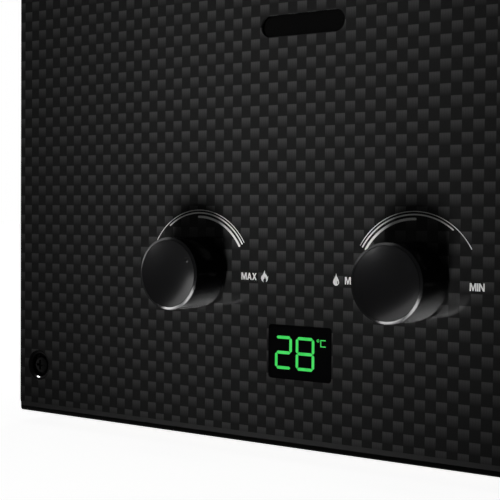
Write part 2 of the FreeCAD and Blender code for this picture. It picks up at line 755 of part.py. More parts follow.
def gas_valve_body():
    """The gas valve: its spindle, the push rod's bore and the pad of the riser."""
    casting, bore = valve_casting(-1)
    pad = rod("z", (RISER_X, MANIFOLD_Y), (VALVE_Z[1] - 1, VALVE_Z[1] + 3), 8)
    entry = rod("x", (ROD_Y, ROD_Z), (-VALVE_NEAR, -VALVE_NEAR + 2), 7)
    rod_bore = rod("x", (ROD_Y, ROD_Z), (-38, -18), ROD_R + RUNNING_GAP)
    ribs = [block((-VALVE_FAR - 2, -VALVE_FAR + 1), VALVE_Y, (z, z + 3)) for z in (56, 67, 78)]
    return fused([casting, pad, entry] + ribs).cut([bore, rod_bore])


def gas_solenoid():
    """The safety coil on top of the gas valve."""
    can = rod("z", (-58, -7), (VALVE_Z[1], 101), 10)
    cap = rod("z", (-58, -7), (101, 103), 6)
    foot = rounded("z", (-68.5, -47.5), (-17.5, 3.5), (VALVE_Z[1], VALVE_Z[1] + 2), 3)
    return fused([can, cap, foot])


def water_valve_body():
    """The water valve: its spindle, the flange of the diaphragm chamber and the drain branch."""
    casting, bore = valve_casting(1)
    flange = rod("x", (ROD_Y, ROD_Z), (DISC_X[1], VALVE_NEAR + 1), DISC_R)
    branch = rounded("x", (FITTING_Y - 6, FITTING_Y + 6), (50, 61), (VALVE_FAR - 6, DRAIN_X + 6), 3)
    neck = rod("z", (DRAIN_X, FITTING_Y), (TRAY_TOP, 55), 6)
    return fused([casting, flange, branch, neck]).cut(bore)


def diaphragm_cover():
    """The outer half of the diaphragm chamber, which guides the push rod."""
    disc = rod("x", (ROD_Y, ROD_Z), DISC_X, DISC_R)
    dome = cone("x", (ROD_Y, ROD_Z), (-2, DISC_X[0]), (7, 12.5))
    cover = fused([disc, dome])
    groove = rod("x", (ROD_Y, ROD_Z), (PLATE_X[0] - ROD_TRAVEL - 0.6, DISC_X[1] + 1), 18)
    bore = rod("x", (ROD_Y, ROD_Z), (-3, 10), ROD_R + RUNNING_GAP)
    holes = [rod("x", place, (DISC_X[0] - 1, DISC_X[1] + 1), 1.55) for place in disc_screw_places()]
    return cover.cut([groove, bore] + holes)


def disc_screw_places():
    """The six screws round the diaphragm chamber, as Y and Z."""
    places = []
    for number in range(6):
        angle = math.radians(60 * number)
        places.append((ROD_Y + 22 * math.cos(angle), ROD_Z + 22 * math.sin(angle)))
    return places


def push_rod():
    """The rod that the diaphragm pushes: it opens the gas valve and its collar trips the switch."""
    shaft = rod("x", (ROD_Y, ROD_Z), (-27, PLATE_X[0]), ROD_R)
    collar = rod("x", (ROD_Y, ROD_Z), COLLAR, 6)
    plate = rod("x", (ROD_Y, ROD_Z), PLATE_X, 12)
    return fused([shaft, collar, plate])


def microswitch():
    """The switch beside the push rod, with the two ears and the pin of its arm."""
    y = (ROD_Y - 5, ROD_Y + 5)
    case = block((LEVER_X + 3, DISC_X[0]), y, (LEVER_Z - 5, LEVER_Z + 6))
    ears = []
    for low, high in ((y[0], y[0] + 1.2), (y[1] - 1.2, y[1])):
        ears.append(block((LEVER_X - 2, LEVER_X + 3), (low, high), (LEVER_Z - 3, LEVER_Z + 3)))
    pin = rod("y", (LEVER_X, LEVER_Z), y, 1.0)
    terminals = [block((x, x + 0.6), (ROD_Y - 2, ROD_Y + 2), (LEVER_Z + 6, LEVER_Z + 11)) for x in (-10, -5, 0)]
    return fused([case, pin] + ears + terminals)


def switch_lever():
    """The switch's arm: an eye on its pin and a blade down to the push rod's collar."""
    y = (ROD_Y - 3.4, ROD_Y + 3.4)
    eye = rod("y", (LEVER_X, LEVER_Z), y, 2)
    blade = block((LEVER_X - 0.5, LEVER_X + 0.5), y, (71, LEVER_Z))
    bore = rod("y", (LEVER_X, LEVER_Z), (y[0] - 1, y[1] + 1), 1.0 + RUNNING_GAP)
    return fused([eye, blade]).cut(bore)


def fitting(x, thread_r, bore_r, across):
    """A threaded pipe fitting: a hexagonal shoulder on the tray, a neck through it and the thread below."""
    shoulder = hexagon((x, FITTING_Y), (TRAY_TOP, SHOULDER_TOP), across)
    neck = rod("z", (x, FITTING_Y), (THREAD_HIGH, TRAY_TOP + 1), thread_r - RELIEF)
    thread = rod("z", (x, FITTING_Y), (THREAD_LOW, THREAD_HIGH), thread_r)
    bore = rod("z", (x, FITTING_Y), (THREAD_LOW - 1, SHOULDER_TOP + 1), bore_r)
    return fused([shoulder, neck, thread]).cut(bore)


def lock_nuts():
    """The nuts that hold the three fittings to the tray."""
    nuts = []
    for x, radius, across in ((OUTLET_X, WATER_THREAD_R, 27), (INLET_X, WATER_THREAD_R, 27), (GAS_X, GAS_THREAD_R, 22)):
        nut = hexagon((x, FITTING_Y), NUT_SPAN, across)
        nuts.append(nut.cut(rod("z", (x, FITTING_Y), (NUT_SPAN[0] - 1, NUT_SPAN[1] + 1), radius - RELIEF)))
    return nuts


def drain_plug():
    """The fluted plug that empties the water valve before frost."""
    head = rod("z", (DRAIN_X, FITTING_Y), (9, TRAY_Z - 1), 9)
    stem = rod("z", (DRAIN_X, FITTING_Y), (TRAY_Z - 2, TRAY_TOP), 5.8)
    flutes = []
    for number in range(8):
        angle = math.radians(45 * number)
        centre = (DRAIN_X + 9.6 * math.cos(angle), FITTING_Y + 9.6 * math.sin(angle))
        flutes.append(rod("z", centre, (8, TRAY_Z - 1), 1.8))
    return fused([head, stem]).cut(flutes)


def blade_places():
    """The burner blades' places across the burner."""
    first = -BLADE_PITCH * (BLADE_COUNT - 1) / 2
    return [first + BLADE_PITCH * number for number in range(BLADE_COUNT)]


def gas_manifold():
    """The gas rail with its riser, one jet for each burner blade and two fixing ears."""
    ends = blade_places()[-1] + 8
    rail = rod("x", (MANIFOLD_Y, MANIFOLD_Z), (-ends, ends), MANIFOLD_R)
    riser = rod("z", (RISER_X, MANIFOLD_Y), (VALVE_Z[1] + 3, MANIFOLD_Z), 5)
    jets = []
    for x in blade_places():
        jets.append(cone("y", (x, MANIFOLD_Z), (MANIFOLD_Y + 5, CHAMBER_Y[0]), (4, 2)))
    ears = []
    for x in (-ends, ends - 3):
        ears.append(block((x, x + 3), (MANIFOLD_Y, CHAMBER_Y[0]), (MANIFOLD_Z, FRAME_Z[1] - 3)))
    return fused([rail, riser] + jets + ears)


def burner_blades():
    """Eight pressed burner blades: a mixing tube below, a narrow neck and a slotted head."""
    y = (CHAMBER_Y[0] + SHEET, CHAMBER_Y[1] - SHEET)
    low, high = BLADE_Z
    profile = [
        (-6.5, low + 3), (-3.5, low), (3.5, low), (6.5, low + 3), (6.5, low + 17), (2.5, low + 23),
        (2.5, low + 28), (4.5, low + 31), (4.5, high), (-4.5, high), (-4.5, low + 31), (-2.5, low + 28),
        (-2.5, low + 23), (-6.5, low + 17),
    ]
    blades = []
    for x in blade_places():
        blade = prism("y", [(x + a, b) for a, b in profile], y)
        cuts = [rod("y", (x, MANIFOLD_Z), (y[0] - 1, y[0] + 14), 4.6)]
        for number in range(9):
            slot_y = y[0] + 5 + 7.2 * number
            cuts.append(block((x - 5, x + 5), (slot_y, slot_y + 2.4), (high - 2.5, high + 1)))
        blades.append(blade.cut(cuts))
    return blades


def burner_frame():
    """The ring that holds the burner blades under the combustion chamber."""
    outer = block((-CHAMBER_X, CHAMBER_X), CHAMBER_Y, FRAME_Z)
    inner_y = (CHAMBER_Y[0] + SHEET, CHAMBER_Y[1] - SHEET)
    return outer.cut(block((SHEET - CHAMBER_X, CHAMBER_X - SHEET), inner_y, (FRAME_Z[0] - 1, FRAME_Z[1] + 1)))


def combustion_chamber():
    """The copper chamber over the burner, with the sight hole and the electrodes' holes in its front."""
    outer = block((-CHAMBER_X, CHAMBER_X), CHAMBER_Y, CHAMBER_Z)
    inner_y = (CHAMBER_Y[0] + SHEET, CHAMBER_Y[1] - SHEET)
    inner = block((SHEET - CHAMBER_X, CHAMBER_X - SHEET), inner_y, (CHAMBER_Z[0] - 1, CHAMBER_Z[1] + 1))
    front = (CHAMBER_Y[0] - 1, CHAMBER_Y[0] + 2)
    holes = [slot("y", (0, SLOT_Z), 42, 12, front)]
    holes += [rod("y", (x, ELECTRODE_Z), front, 3.3) for x in (SPARK_X, SENSOR_X)]
    return outer.cut([inner] + holes)


def fin_block():
    """The finned top of the heat exchanger: thin fins on three tube passes, joined along both long edges."""
    body = block((-CHAMBER_X, CHAMBER_X), CHAMBER_Y, FIN_Z)
    pitch = (2 * CHAMBER_X - FIN_THICK) / (FIN_COUNT - 1)
    y = (CHAMBER_Y[0] + SHEET, CHAMBER_Y[1] - SHEET)
    gaps = []
    for number in range(FIN_COUNT - 1):
        start = -CHAMBER_X + FIN_THICK + pitch * number
        gaps.append(block((start, start + pitch - FIN_THICK), y, (FIN_Z[0] - 1, FIN_Z[1] + 1)))
    bores = [rod("x", (tube_y, TUBE_Z), (-CHAMBER_X - 1, CHAMBER_X + 1), TUBE_R + RUNNING_GAP) for tube_y in TUBE_YS]
    return body.cut(gaps + bores)


def exchanger_tube():
    """One tube in three passes through the fins, with a return bend at each side."""
    turn = CHAMBER_X + 4 + 10
    points = [
        (96, TUBE_YS[0], TUBE_Z),
        (-turn, TUBE_YS[0], TUBE_Z),
        (-turn, TUBE_YS[1], TUBE_Z),
        (turn, TUBE_YS[1], TUBE_Z),
        (turn, TUBE_YS[2], TUBE_Z),
        (-100, TUBE_YS[2], TUBE_Z),
    ]
    return pipe(points, TUBE_R, 9.99)


def water_coil():
    """The copper pipe wound once round the combustion chamber before it feeds the fins."""
    points = [
        (COIL_X, FITTING_Y, 150),
        (COIL_X, FITTING_Y, COIL_Z),
        (COIL_X, COIL_Y[0], COIL_Z),
        (-COIL_X, COIL_Y[0], COIL_Z),
        (-COIL_X, COIL_Y[1], COIL_Z),
        (110, COIL_Y[1], COIL_Z),
        (110, COIL_Y[1], TUBE_Z),
        (110, TUBE_YS[0], TUBE_Z),
        (96, TUBE_YS[0], TUBE_Z),
    ]
    return pipe(points, PIPE_R, 10)


def cold_pipe():
    """The pipe from the water valve up to the coil."""
    return pipe([(VALVE_FAR, FITTING_Y, 70), (COIL_X, FITTING_Y, 70), (COIL_X, FITTING_Y, 150)], PIPE_R, 10)


def hot_pipe():
    """The pipe from the fins down to the hot water outlet."""
    points = [
        (-100, FITTING_Y, TUBE_Z),
        (HOT_X, FITTING_Y, TUBE_Z),
        (HOT_X, FITTING_Y, 60),
        (OUTLET_X, FITTING_Y, 60),
        (OUTLET_X, FITTING_Y, SHOULDER_TOP),
    ]
    return pipe(points, PIPE_R, 9.5)


def flue_hood():
    """The tapered duct from the fins to the flue opening."""
    def ring(inset, z, x, y):
        return rounded_wire("z", (inset - x, x - inset), (y[0] + inset, y[1] - inset), z, 4 - inset)

    outer = Part.makeLoft([ring(0, FIN_Z[1], CHAMBER_X, CHAMBER_Y), ring(0, TOP_PLATE_Z, FLUE_X, FLUE_Y)], True, True)
    inner = Part.makeLoft(
        [ring(SHEET, FIN_Z[1], CHAMBER_X, CHAMBER_Y), ring(SHEET, TOP_PLATE_Z, FLUE_X, FLUE_Y)], True, True
    )
    return outer.cut(inner)


def electrode(x, tip_y):
    """A ceramic sleeve through the chamber's front, with the metal rod that reaches over the burner."""
    sleeve = rod("y", (x, ELECTRODE_Z), (-40, -18), 3.2)
    collar = rod("y", (x, ELECTRODE_Z), (-28, -25.5), 4.6)
    wire = rod("y", (x, ELECTRODE_Z), (-44, tip_y), 1.1)
    return fused([sleeve, collar, wire])


def electrode_bracket():
    """The plate that holds both electrodes on the chamber's front."""
    plate = rounded("y", (SPARK_X - 9, SENSOR_X + 9), (ELECTRODE_Z - 7, ELECTRODE_Z + 11), (-25.5, CHAMBER_Y[0]), 3)
    return plate.cut([rod("y", (x, ELECTRODE_Z), (-27, -23), 3.2) for x in (SPARK_X, SENSOR_X)])


def overheat_switch():
    """The round cut-out switch on the front of the fins, with its two terminals."""
    centre = (60, TUBE_Z)
    can = rod("y", centre, (-31, CHAMBER_Y[0]), 8)
    ears = slot("y", centre, 32, 11, (CHAMBER_Y[0] - 1, CHAMBER_Y[0]))
    terminals = [block((x, x + 0.8), (-38, -31), (TUBE_Z - 3, TUBE_Z + 3)) for x in (56, 63.2)]
    return fused([can, ears] + terminals)


def control_box():
    """The case of the spark and safety circuit, with a row of sockets on top."""
    case = rounded("z", (76, 132), (24, 64), (TRAY_TOP, 86), 4)
    lid = rounded("z", (74.5, 133.5), (22.5, 65.5), (86, 90), 5)
    sockets = [block((x, x + 9), (36, 50), (90, 96)) for x in (82, 96, 110)]
    return fused([case, lid] + sockets)


def chamber_brackets():
    """Four bent plates from the back plate to the combustion chamber and the fins."""
    brackets = []
    for x in (-78, 78):
        for z in (160, 245):
            web = block((x - 8, x + 8), (CHAMBER_Y[1], COVER_BACK), (z, z + 1.5))
            front = block((x - 8, x + 8), (CHAMBER_Y[1], CHAMBER_Y[1] + 1.5), (z, z + 14))
            back = block((x - 8, x + 8), (COVER_BACK - 1.5, COVER_BACK), (z, z + 14))
            brackets.append(fused([web, front, back]))
    return brackets


def battery_box():
    """The open-bottomed battery case, with the two ears of the door's hinge."""
    x = (-BATTERY_X, BATTERY_X)
    outer = rounded("x", BATTERY_Y, (TRAY_TOP, BATTERY_TOP), x, 4)
    foot = block(x, BATTERY_Y, (TRAY_TOP, TRAY_TOP + 6))
    inner = block(
        (-BATTERY_X + CASE_WALL, BATTERY_X - CASE_WALL),
        (BATTERY_Y[0] + CASE_WALL, BATTERY_Y[1] - CASE_WALL),
        (TRAY_TOP - 1, BATTERY_TOP - CASE_WALL),
    )
    case = fused([outer, foot]).cut(inner)
    ears = []
    for side in (-1, 1):
        span = (min(side * 50, side * 54), max(side * 50, side * 54))
        ears.append(block(span, (HINGE_Y - 2.6, HINGE_Y + 2.4), (HINGE_Z, TRAY_TOP + 4)))
        ears.append(rod("x", (HINGE_Y, HINGE_Z), span, 2.6))
    return fused([case] + ears).cut(rod("x", (HINGE_Y, HINGE_Z), (-56, 56), HINGE_PIN_R))


def battery_door():
    """The door under the batteries, with a knuckle at each end and a thumb lip at the front."""
    plate = rounded("z", (-DOOR_X, DOOR_X), DOOR_Y, (TRAY_TOP - 2, TRAY_TOP), 2)
    lip = rounded("x", (DOOR_Y[0], DOOR_Y[0] + 2.5), (TRAY_TOP - 7, TRAY_TOP), (-12, 12), 0.8)
    ribs = [block((x, x + 1.5), (DOOR_Y[0] + 5, DOOR_Y[1] - 2), (TRAY_TOP - 3, TRAY_TOP - 1)) for x in range(-54, 55, 12)]
    knuckles = []
    for side in (-1, 1):
        span = (min(side * 44, side * 49.5), max(side * 44, side * 49.5))
        knuckles.append(rod("x", (HINGE_Y, HINGE_Z), span, HINGE_R))
        arm = [(DOOR_Y[1] - 3, TRAY_TOP), (DOOR_Y[1] - 3, HINGE_Z - 2.2), (HINGE_Y, HINGE_Z - 2.6), (HINGE_Y, TRAY_TOP - 1)]
        knuckles.append(prism("x", arm, span))
    door = fused([plate, lip] + ribs + knuckles)
    return door.cut(rod("x", (HINGE_Y, HINGE_Z), (-60, 60), HINGE_PIN_R + RUNNING_GAP))


def door_pins():
    """The two short pins of the battery door's hinge."""
    pin = rod("x", (HINGE_Y, HINGE_Z), (43.5, 54), HINGE_PIN_R)
    return [pin, mirrored(pin)]


def battery_cells():
    """Two large round cells in a row, each with its raised terminal."""
    cells = []
    for start in (-CELL_L, 0.0):
        can = rod("x", (CELL_Y, CELL_Z), (start, start + CELL_L - 1.5), CELL_R)
        terminal = rod("x", (CELL_Y, CELL_Z), (start + CELL_L - 1.5, start + CELL_L), 4.5)
        cells.append(fused([can, terminal]))
    return cells


def battery_contacts():
    """The contact plates at the two ends of the battery case."""
    end = BATTERY_X - CASE_WALL
    contacts = []
    for side in (-1, 1):
        plate = (min(side * (end - 0.6), side * end), max(side * (end - 0.6), side * end))
        bow = (min(side * CELL_L, side * end), max(side * CELL_L, side * end))
        leaf = block(plate, (CELL_Y - 11, CELL_Y + 11), (CELL_Z - 13, CELL_Z + 13))
        contacts.append(leaf.fuse(rod("x", (CELL_Y, CELL_Z), bow, 6)).removeSplitter())
    return contacts


def cover_screws():
    """The four screws in the cover's pressed dimples."""
    seat_y = FRONT + DIMPLE_DEPTH
    return [screw(V(x, seat_y, z), V(0, -1, 0), 3.7, 2.3, 2.0, 9) for x, z in screw_places()]


def cap_screws():
    """The rain cap's four screws."""
    return [screw(V(x, y, COVER_TOP), V(0, 0, 1), 3.0, 1.8, 1.5, 6) for x, y in cap_screw_places()]


def side_screws():
    """The screws through the cover's sides."""
    return [screw(V(x, y, z), V(math.copysign(1, x), 0, 0), 3.2, 1.6, 1.55, 6) for x, y, z in side_screw_places()]


def diaphragm_screws():
    """The hexagon-headed screws round the diaphragm chamber."""
    screws = []
    for y, z in disc_screw_places():
        head = hexagon((0, 0), (0, 2), 5)
        head.Placement = FreeCAD.Placement(V(DISC_X[0], y, z), FreeCAD.Rotation(V(0, 0, 1), V(-1, 0, 0)))
        screws.append(fused([head, rod("x", (y, z), (DISC_X[0], DISC_X[1]), 1.5)]))
    return screws


PIECES = {
    "front_cover": front_cover,
    "back_plate": back_plate,
    "top_plate": top_plate,
    "bottom_tray": bottom_tray,
    "base_rail_right": base_rail,
    "base_rail_left": lambda: mirrored(base_rail()),
    "rubber_feet": rubber_feet,
    "rain_cap": rain_cap,
    "cover_screws": cover_screws,
    "cap_screws": cap_screws,
    "side_screws": side_screws,
    "handle_bracket_right": handle_bracket,
    "handle_bracket_left": lambda: mirrored(handle_bracket()),
    "handle_pins": handle_pins,
    "handle_bar": handle_bar,
    "handle_grip": handle_grip,
    "display_window": display_window,
    "display_module": display_module,
    "display_bracket": display_bracket,
    "display_board": display_board,
    "sight_glass": sight_glass,
    "sight_frame": sight_frame,
    "gas_knob": lambda: knob(-KNOB_X),
    "gas_spindle": lambda: spindle(-KNOB_X),
    "water_knob": lambda: knob(KNOB_X),
    "water_spindle": lambda: spindle(KNOB_X),
    "gas_valve_body": gas_valve_body,
    "gas_solenoid": gas_solenoid,
    "water_valve_body": water_valve_body,
    "diaphragm_cover": diaphragm_cover,
    "diaphragm_screws": diaphragm_screws,
    "push_rod": push_rod,
    "microswitch": microswitch,
    "switch_lever": switch_lever,
    "gas_inlet": lambda: fitting(GAS_X, GAS_THREAD_R, 5.0, 22),
    "water_inlet": lambda: fitting(INLET_X, WATER_THREAD_R, 7.0, 27),
    "water_outlet": lambda: fitting(OUTLET_X, WATER_THREAD_R, 5.0, 27),
    "lock_nuts": lock_nuts,
    "drain_plug": drain_plug,
    "gas_manifold": gas_manifold,
    "burner_blades": burner_blades,
    "burner_frame": burner_frame,
    "combustion_chamber": combustion_chamber,
    "fin_block": fin_block,
    "exchanger_tube": exchanger_tube,
    "water_coil": water_coil,
    "cold_pipe": cold_pipe,
    "hot_pipe": hot_pipe,
    "flue_hood": flue_hood,
    "spark_electrode": lambda: electrode(SPARK_X, 4),
    "flame_sensor": lambda: electrode(SENSOR_X, 12),
    "electrode_bracket": electrode_bracket,
    "overheat_switch": overheat_switch,
    "control_box": control_box,
    "chamber_brackets": chamber_brackets,
    "battery_box": battery_box,
    "battery_door": battery_door,
    "door_pins": door_pins,
    "battery_cells": battery_cells,
    "battery_contacts": battery_contacts,
}

os.makedirs("parts", exist_ok=True)
for node, make in PIECES.items():
    shape = make()
    if isinstance(shape, list):
        shape = Part.makeCompound(shape)
    shape.exportStep("parts/" + node + ".step")
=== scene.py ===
import json
import math

import bmesh
import bpy
from mathutils import Matrix, Vector


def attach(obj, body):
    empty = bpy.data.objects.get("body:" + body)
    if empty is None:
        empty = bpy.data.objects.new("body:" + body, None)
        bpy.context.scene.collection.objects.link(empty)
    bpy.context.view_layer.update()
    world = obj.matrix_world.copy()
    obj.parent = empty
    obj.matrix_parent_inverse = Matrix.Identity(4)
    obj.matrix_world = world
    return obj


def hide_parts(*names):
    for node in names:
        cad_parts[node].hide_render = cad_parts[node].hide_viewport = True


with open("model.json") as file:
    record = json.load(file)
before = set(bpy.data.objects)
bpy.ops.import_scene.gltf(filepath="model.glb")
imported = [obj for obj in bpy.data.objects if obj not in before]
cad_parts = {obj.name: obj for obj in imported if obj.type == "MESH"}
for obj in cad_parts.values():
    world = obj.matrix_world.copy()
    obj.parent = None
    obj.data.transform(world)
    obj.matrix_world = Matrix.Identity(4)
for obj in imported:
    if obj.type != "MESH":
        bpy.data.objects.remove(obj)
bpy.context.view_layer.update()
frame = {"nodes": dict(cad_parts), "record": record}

# A portable propane water heater: its finishes, printed panel, knobs, screws, pipe threads and floor.
# Lengths in the tables are millimetres, in the frame of the CAD model.

MM = 0.001

FRONT = -51.0
KNOB_X = 46.15
KNOB_Z = 68.0
SIDE_X = 144.4
WEAVE = 4.096
WEAVE_COLUMN_SHIFT = 35.52
WEAVE_ROW_SHIFT = -0.78
INK_DEPTH = 0.03
# Tops of the painted highlight band and of the painted shade band along the foot of the cover.
PAINTED_GLEAM_TOP = 9.0
PAINTED_SHADE_TOP = 7.2


def colour(code):
    """An sRGB hex colour as linear red, green, blue and alpha."""
    channels = [int(code[place:place + 2], 16) / 255 for place in (1, 3, 5)]
    linear = [c / 12.92 if c <= 0.04045 else ((c + 0.055) / 1.055) ** 2.4 for c in channels]
    return (*linear, 1.0)


def add(tree, kind, feeds=None, **settings):
    """Adds a node. Feeds gives its sockets a value or another node's output, settings its properties."""
    node = tree.nodes.new(kind)
    for name, value in settings.items():
        setattr(node, name, value)
    for socket, value in (feeds or {}).items():
        if isinstance(value, bpy.types.NodeSocket):
            tree.links.new(value, node.inputs[socket])
        else:
            node.inputs[socket].default_value = value
    return node


# Materials

def blank_material(name):
    """An empty material: itself, its tree, and the place of each point in metres."""
    made = bpy.data.materials.new(name)
    made.use_nodes = True
    made.node_tree.nodes.clear()
    place = add(made.node_tree, "ShaderNodeTexCoord").outputs["Object"]
    return made, made.node_tree, place


def surface(tree, **feeds):
    """Ends a material in one principled surface, its sockets named with underscores for spaces."""
    sockets = {name.replace("_", " "): value for name, value in feeds.items()}
    shader = add(tree, "ShaderNodeBsdfPrincipled", sockets)
    add(tree, "ShaderNodeOutputMaterial", {"Surface": shader.outputs[0]})


def blend_of(tree, fac, stops):
    """A colour ramp from (place, hex) stops."""
    ramp = add(tree, "ShaderNodeValToRGB", {"Fac": fac})
    elements = ramp.color_ramp.elements
    while len(elements) < len(stops):
        elements.new(0.5)
    for element, (where, code) in zip(elements, stops):
        element.position = where
        element.color = colour(code)
    return ramp.outputs["Color"]


def grained(name, dark, light, grain, roughness, relief, stretch=(1, 1, 1), **fixed):
    """A surface whose shades, roughness and relief follow one grain, in millimetres, drawn out by stretch."""
    made, tree, place = blank_material(name)
    scale = tuple(1 / (MM * grain * along) for along in stretch)
    grid = add(tree, "ShaderNodeMapping", {"Vector": place, "Scale": scale})
    fine = add(tree, "ShaderNodeTexNoise", {"Vector": grid.outputs[0], "Scale": 1.0, "Detail": 3.0})
    wide = add(tree, "ShaderNodeTexNoise", {"Vector": place, "Scale": 22.0, "Detail": 2.0})
    both = add(tree, "ShaderNodeMix", {"Factor": 0.4, "A": fine.outputs["Fac"], "B": wide.outputs["Fac"]})
    tint = blend_of(tree, both.outputs["Result"], ((0.35, dark), (0.65, light)))
    polish = add(tree, "ShaderNodeMapRange", {
        "Value": both.outputs["Result"], "From Min": 0.3, "From Max": 0.7,
        "To Min": roughness[0], "To Max": roughness[1],
    })
    bump = add(tree, "ShaderNodeBump", {"Height": fine.outputs["Fac"], "Distance": relief * MM})
    surface(tree, Base_Color=tint, Roughness=polish.outputs["Result"], Normal=bump.outputs["Normal"], **fixed)
    return made


def carbon_film():
    """Carbon-pattern film under lacquer: a checker of grey ink whose light cells fade towards their foot."""
    made, tree, place = blank_material("printed_carbon_film")
    axes = add(tree, "ShaderNodeSeparateXYZ", {"Vector": place})
    beside = add(tree, "ShaderNodeMath", {0: axes.outputs["X"]}, operation="ABSOLUTE")
    on_side = add(tree, "ShaderNodeMath", {0: beside.outputs[0], 1: SIDE_X * MM}, operation="GREATER_THAN")
    across = add(tree, "ShaderNodeMix", {
        "Factor": on_side.outputs[0], "A": axes.outputs["X"], "B": axes.outputs["Y"],
    })
    cells = 1 / (WEAVE * MM)
    column = add(tree, "ShaderNodeMath", {
        0: across.outputs["Result"], 1: cells, 2: WEAVE_COLUMN_SHIFT,
    }, operation="MULTIPLY_ADD")
    row = add(tree, "ShaderNodeMath", {
        0: axes.outputs["Z"], 1: cells, 2: WEAVE_ROW_SHIFT,
    }, operation="MULTIPLY_ADD")
    whole_column = add(tree, "ShaderNodeMath", {0: column.outputs[0]}, operation="FLOOR")
    whole_row = add(tree, "ShaderNodeMath", {0: row.outputs[0]}, operation="FLOOR")
    total = add(tree, "ShaderNodeMath", {
        0: whole_column.outputs[0], 1: whole_row.outputs[0],
    }, operation="ADD")
    dark_cell = add(tree, "ShaderNodeMath", {0: total.outputs[0], 1: 2.0}, operation="FLOORED_MODULO")
    height = add(tree, "ShaderNodeMath", {0: row.outputs[0]}, operation="FRACT")
    rise = add(tree, "ShaderNodeMapRange", {
        "Value": height.outputs[0], "From Min": 0.05, "From Max": 0.85, "To Min": 0.06, "To Max": 1.0,
    })
    # The printed tow has threads 0.5 mm apart, which show as faint streaks up each light cell.
    threads = add(tree, "ShaderNodeTexWave", {
        "Vector": place, "Scale": 320.0, "Distortion": 2.0, "Detail": 2.0,
    })
    uneven = add(tree, "ShaderNodeMapRange", {"Value": threads.outputs["Fac"], "To Min": 0.9, "To Max": 1.08})
    lit = add(tree, "ShaderNodeMath", {0: rise.outputs[0], 1: uneven.outputs[0]}, operation="MULTIPLY")
    light_cell = add(tree, "ShaderNodeMath", {0: 1.0, 1: dark_cell.outputs[0]}, operation="SUBTRACT")
    share = add(tree, "ShaderNodeMath", {0: lit.outputs[0], 1: light_cell.outputs[0]}, operation="MULTIPLY")
    ink = blend_of(tree, share.outputs[0], ((0.0, "#1d1d1d"), (1.0, "#3b3b3b")))
    # The print stops along the foot of the cover: a lighter grey band there is a painted highlight, and the
    # black band under it is painted shade.
    in_painted_gleam = add(tree, "ShaderNodeMath", {0: axes.outputs["Z"], 1: PAINTED_GLEAM_TOP * MM}, operation="LESS_THAN")
    in_painted_shade = add(tree, "ShaderNodeMath", {0: axes.outputs["Z"], 1: PAINTED_SHADE_TOP * MM}, operation="LESS_THAN")
    gleam_and_shade = add(tree, "ShaderNodeMix", {
        "Factor": in_painted_shade.outputs[0], "A": colour("#343434"), "B": colour("#020202"),
    }, data_type="RGBA")
    whole = add(tree, "ShaderNodeMix", {"Factor": in_painted_gleam.outputs[0], "A": ink, "B": gleam_and_shade.outputs["Result"]},
                data_type="RGBA")
    surface(tree, Base_Color=whole.outputs["Result"], Roughness=0.1, Specular_IOR_Level=0.012)
    return made


def sight_glass():
    """Borosilicate glass under a smoke film: a dim pane whose low IOR keeps the white room out of it."""
    made, tree, place = blank_material("borosilicate_sight_glass")
    film = add(tree, "ShaderNodeTexNoise", {"Vector": place, "Scale": 120.0, "Detail": 3.0})
    polish = add(tree, "ShaderNodeMapRange", {"Value": film.outputs["Fac"], "To Min": 0.02, "To Max": 0.12})
    tint = blend_of(tree, film.outputs["Fac"], ((0.3, "#1d1e1f"), (0.7, "#292a29")))
    surface(tree, Base_Color=tint, Roughness=polish.outputs["Result"], Transmission_Weight=1.0, IOR=1.1,
            Specular_IOR_Level=0.06)
    return made


def circuit_board():
    """Epoxy board under solder mask: green, with copper tracks 0.4 mm wide that show through it."""
    made, tree, place = blank_material("solder_masked_board")
    tracks = add(tree, "ShaderNodeTexBrick", {
        "Vector": place, "Scale": 200.0, "Mortar Size": 0.05, "Mortar Smooth": 0.2,
        "Color1": colour("#0c4a26"), "Color2": colour("#0f5a2d"), "Mortar": colour("#2f8a4a"),
    })
    gloss = add(tree, "ShaderNodeMapRange", {"Value": tracks.outputs["Fac"], "To Min": 0.35, "To Max": 0.25})
    surface(tree, Base_Color=tracks.outputs["Color"], Roughness=gloss.outputs["Result"])
    return made


def burner_steel():
    """Stainless burner sheet: rolled grain, with straw and blue heat tints near the flame ports."""
    made, tree, place = blank_material("heat_tinted_stainless")
    axes = add(tree, "ShaderNodeSeparateXYZ", {"Vector": place})
    rolled = add(tree, "ShaderNodeTexNoise", {"Vector": place, "Scale": 90.0, "Detail": 4.0})
    near = add(tree, "ShaderNodeMapRange", {"Value": axes.outputs["Z"], "From Min": 0.105, "From Max": 0.146})
    mixed = add(tree, "ShaderNodeMath", {
        0: rolled.outputs["Fac"], 1: 0.3, 2: near.outputs[0],
    }, operation="MULTIPLY_ADD")
    stops = ((0.3, "#9a9894"), (0.75, "#a98d5c"), (0.95, "#6d6a86"), (1.0, "#5a5f6c"))
    tint = blend_of(tree, mixed.outputs[0], stops)
    surface(tree, Base_Color=tint, Metallic=1.0, Roughness=0.38)
    return made


def lit_display():
    """A light-emitting segment behind smoked acrylic: even green, a little deeper in places."""
    made, tree, place = blank_material("lit_green_segment")
    cloud = add(tree, "ShaderNodeTexNoise", {"Vector": place, "Scale": 300.0, "Detail": 1.0})
    glow = blend_of(tree, cloud.outputs["Fac"], ((0.3, "#3fd95c"), (0.7, "#50e86c")))
    surface(tree, Base_Color=colour("#0b2a12"), Roughness=0.4, Emission_Color=glow, Emission_Strength=0.85,
            Specular_IOR_Level=0.05)
    return made


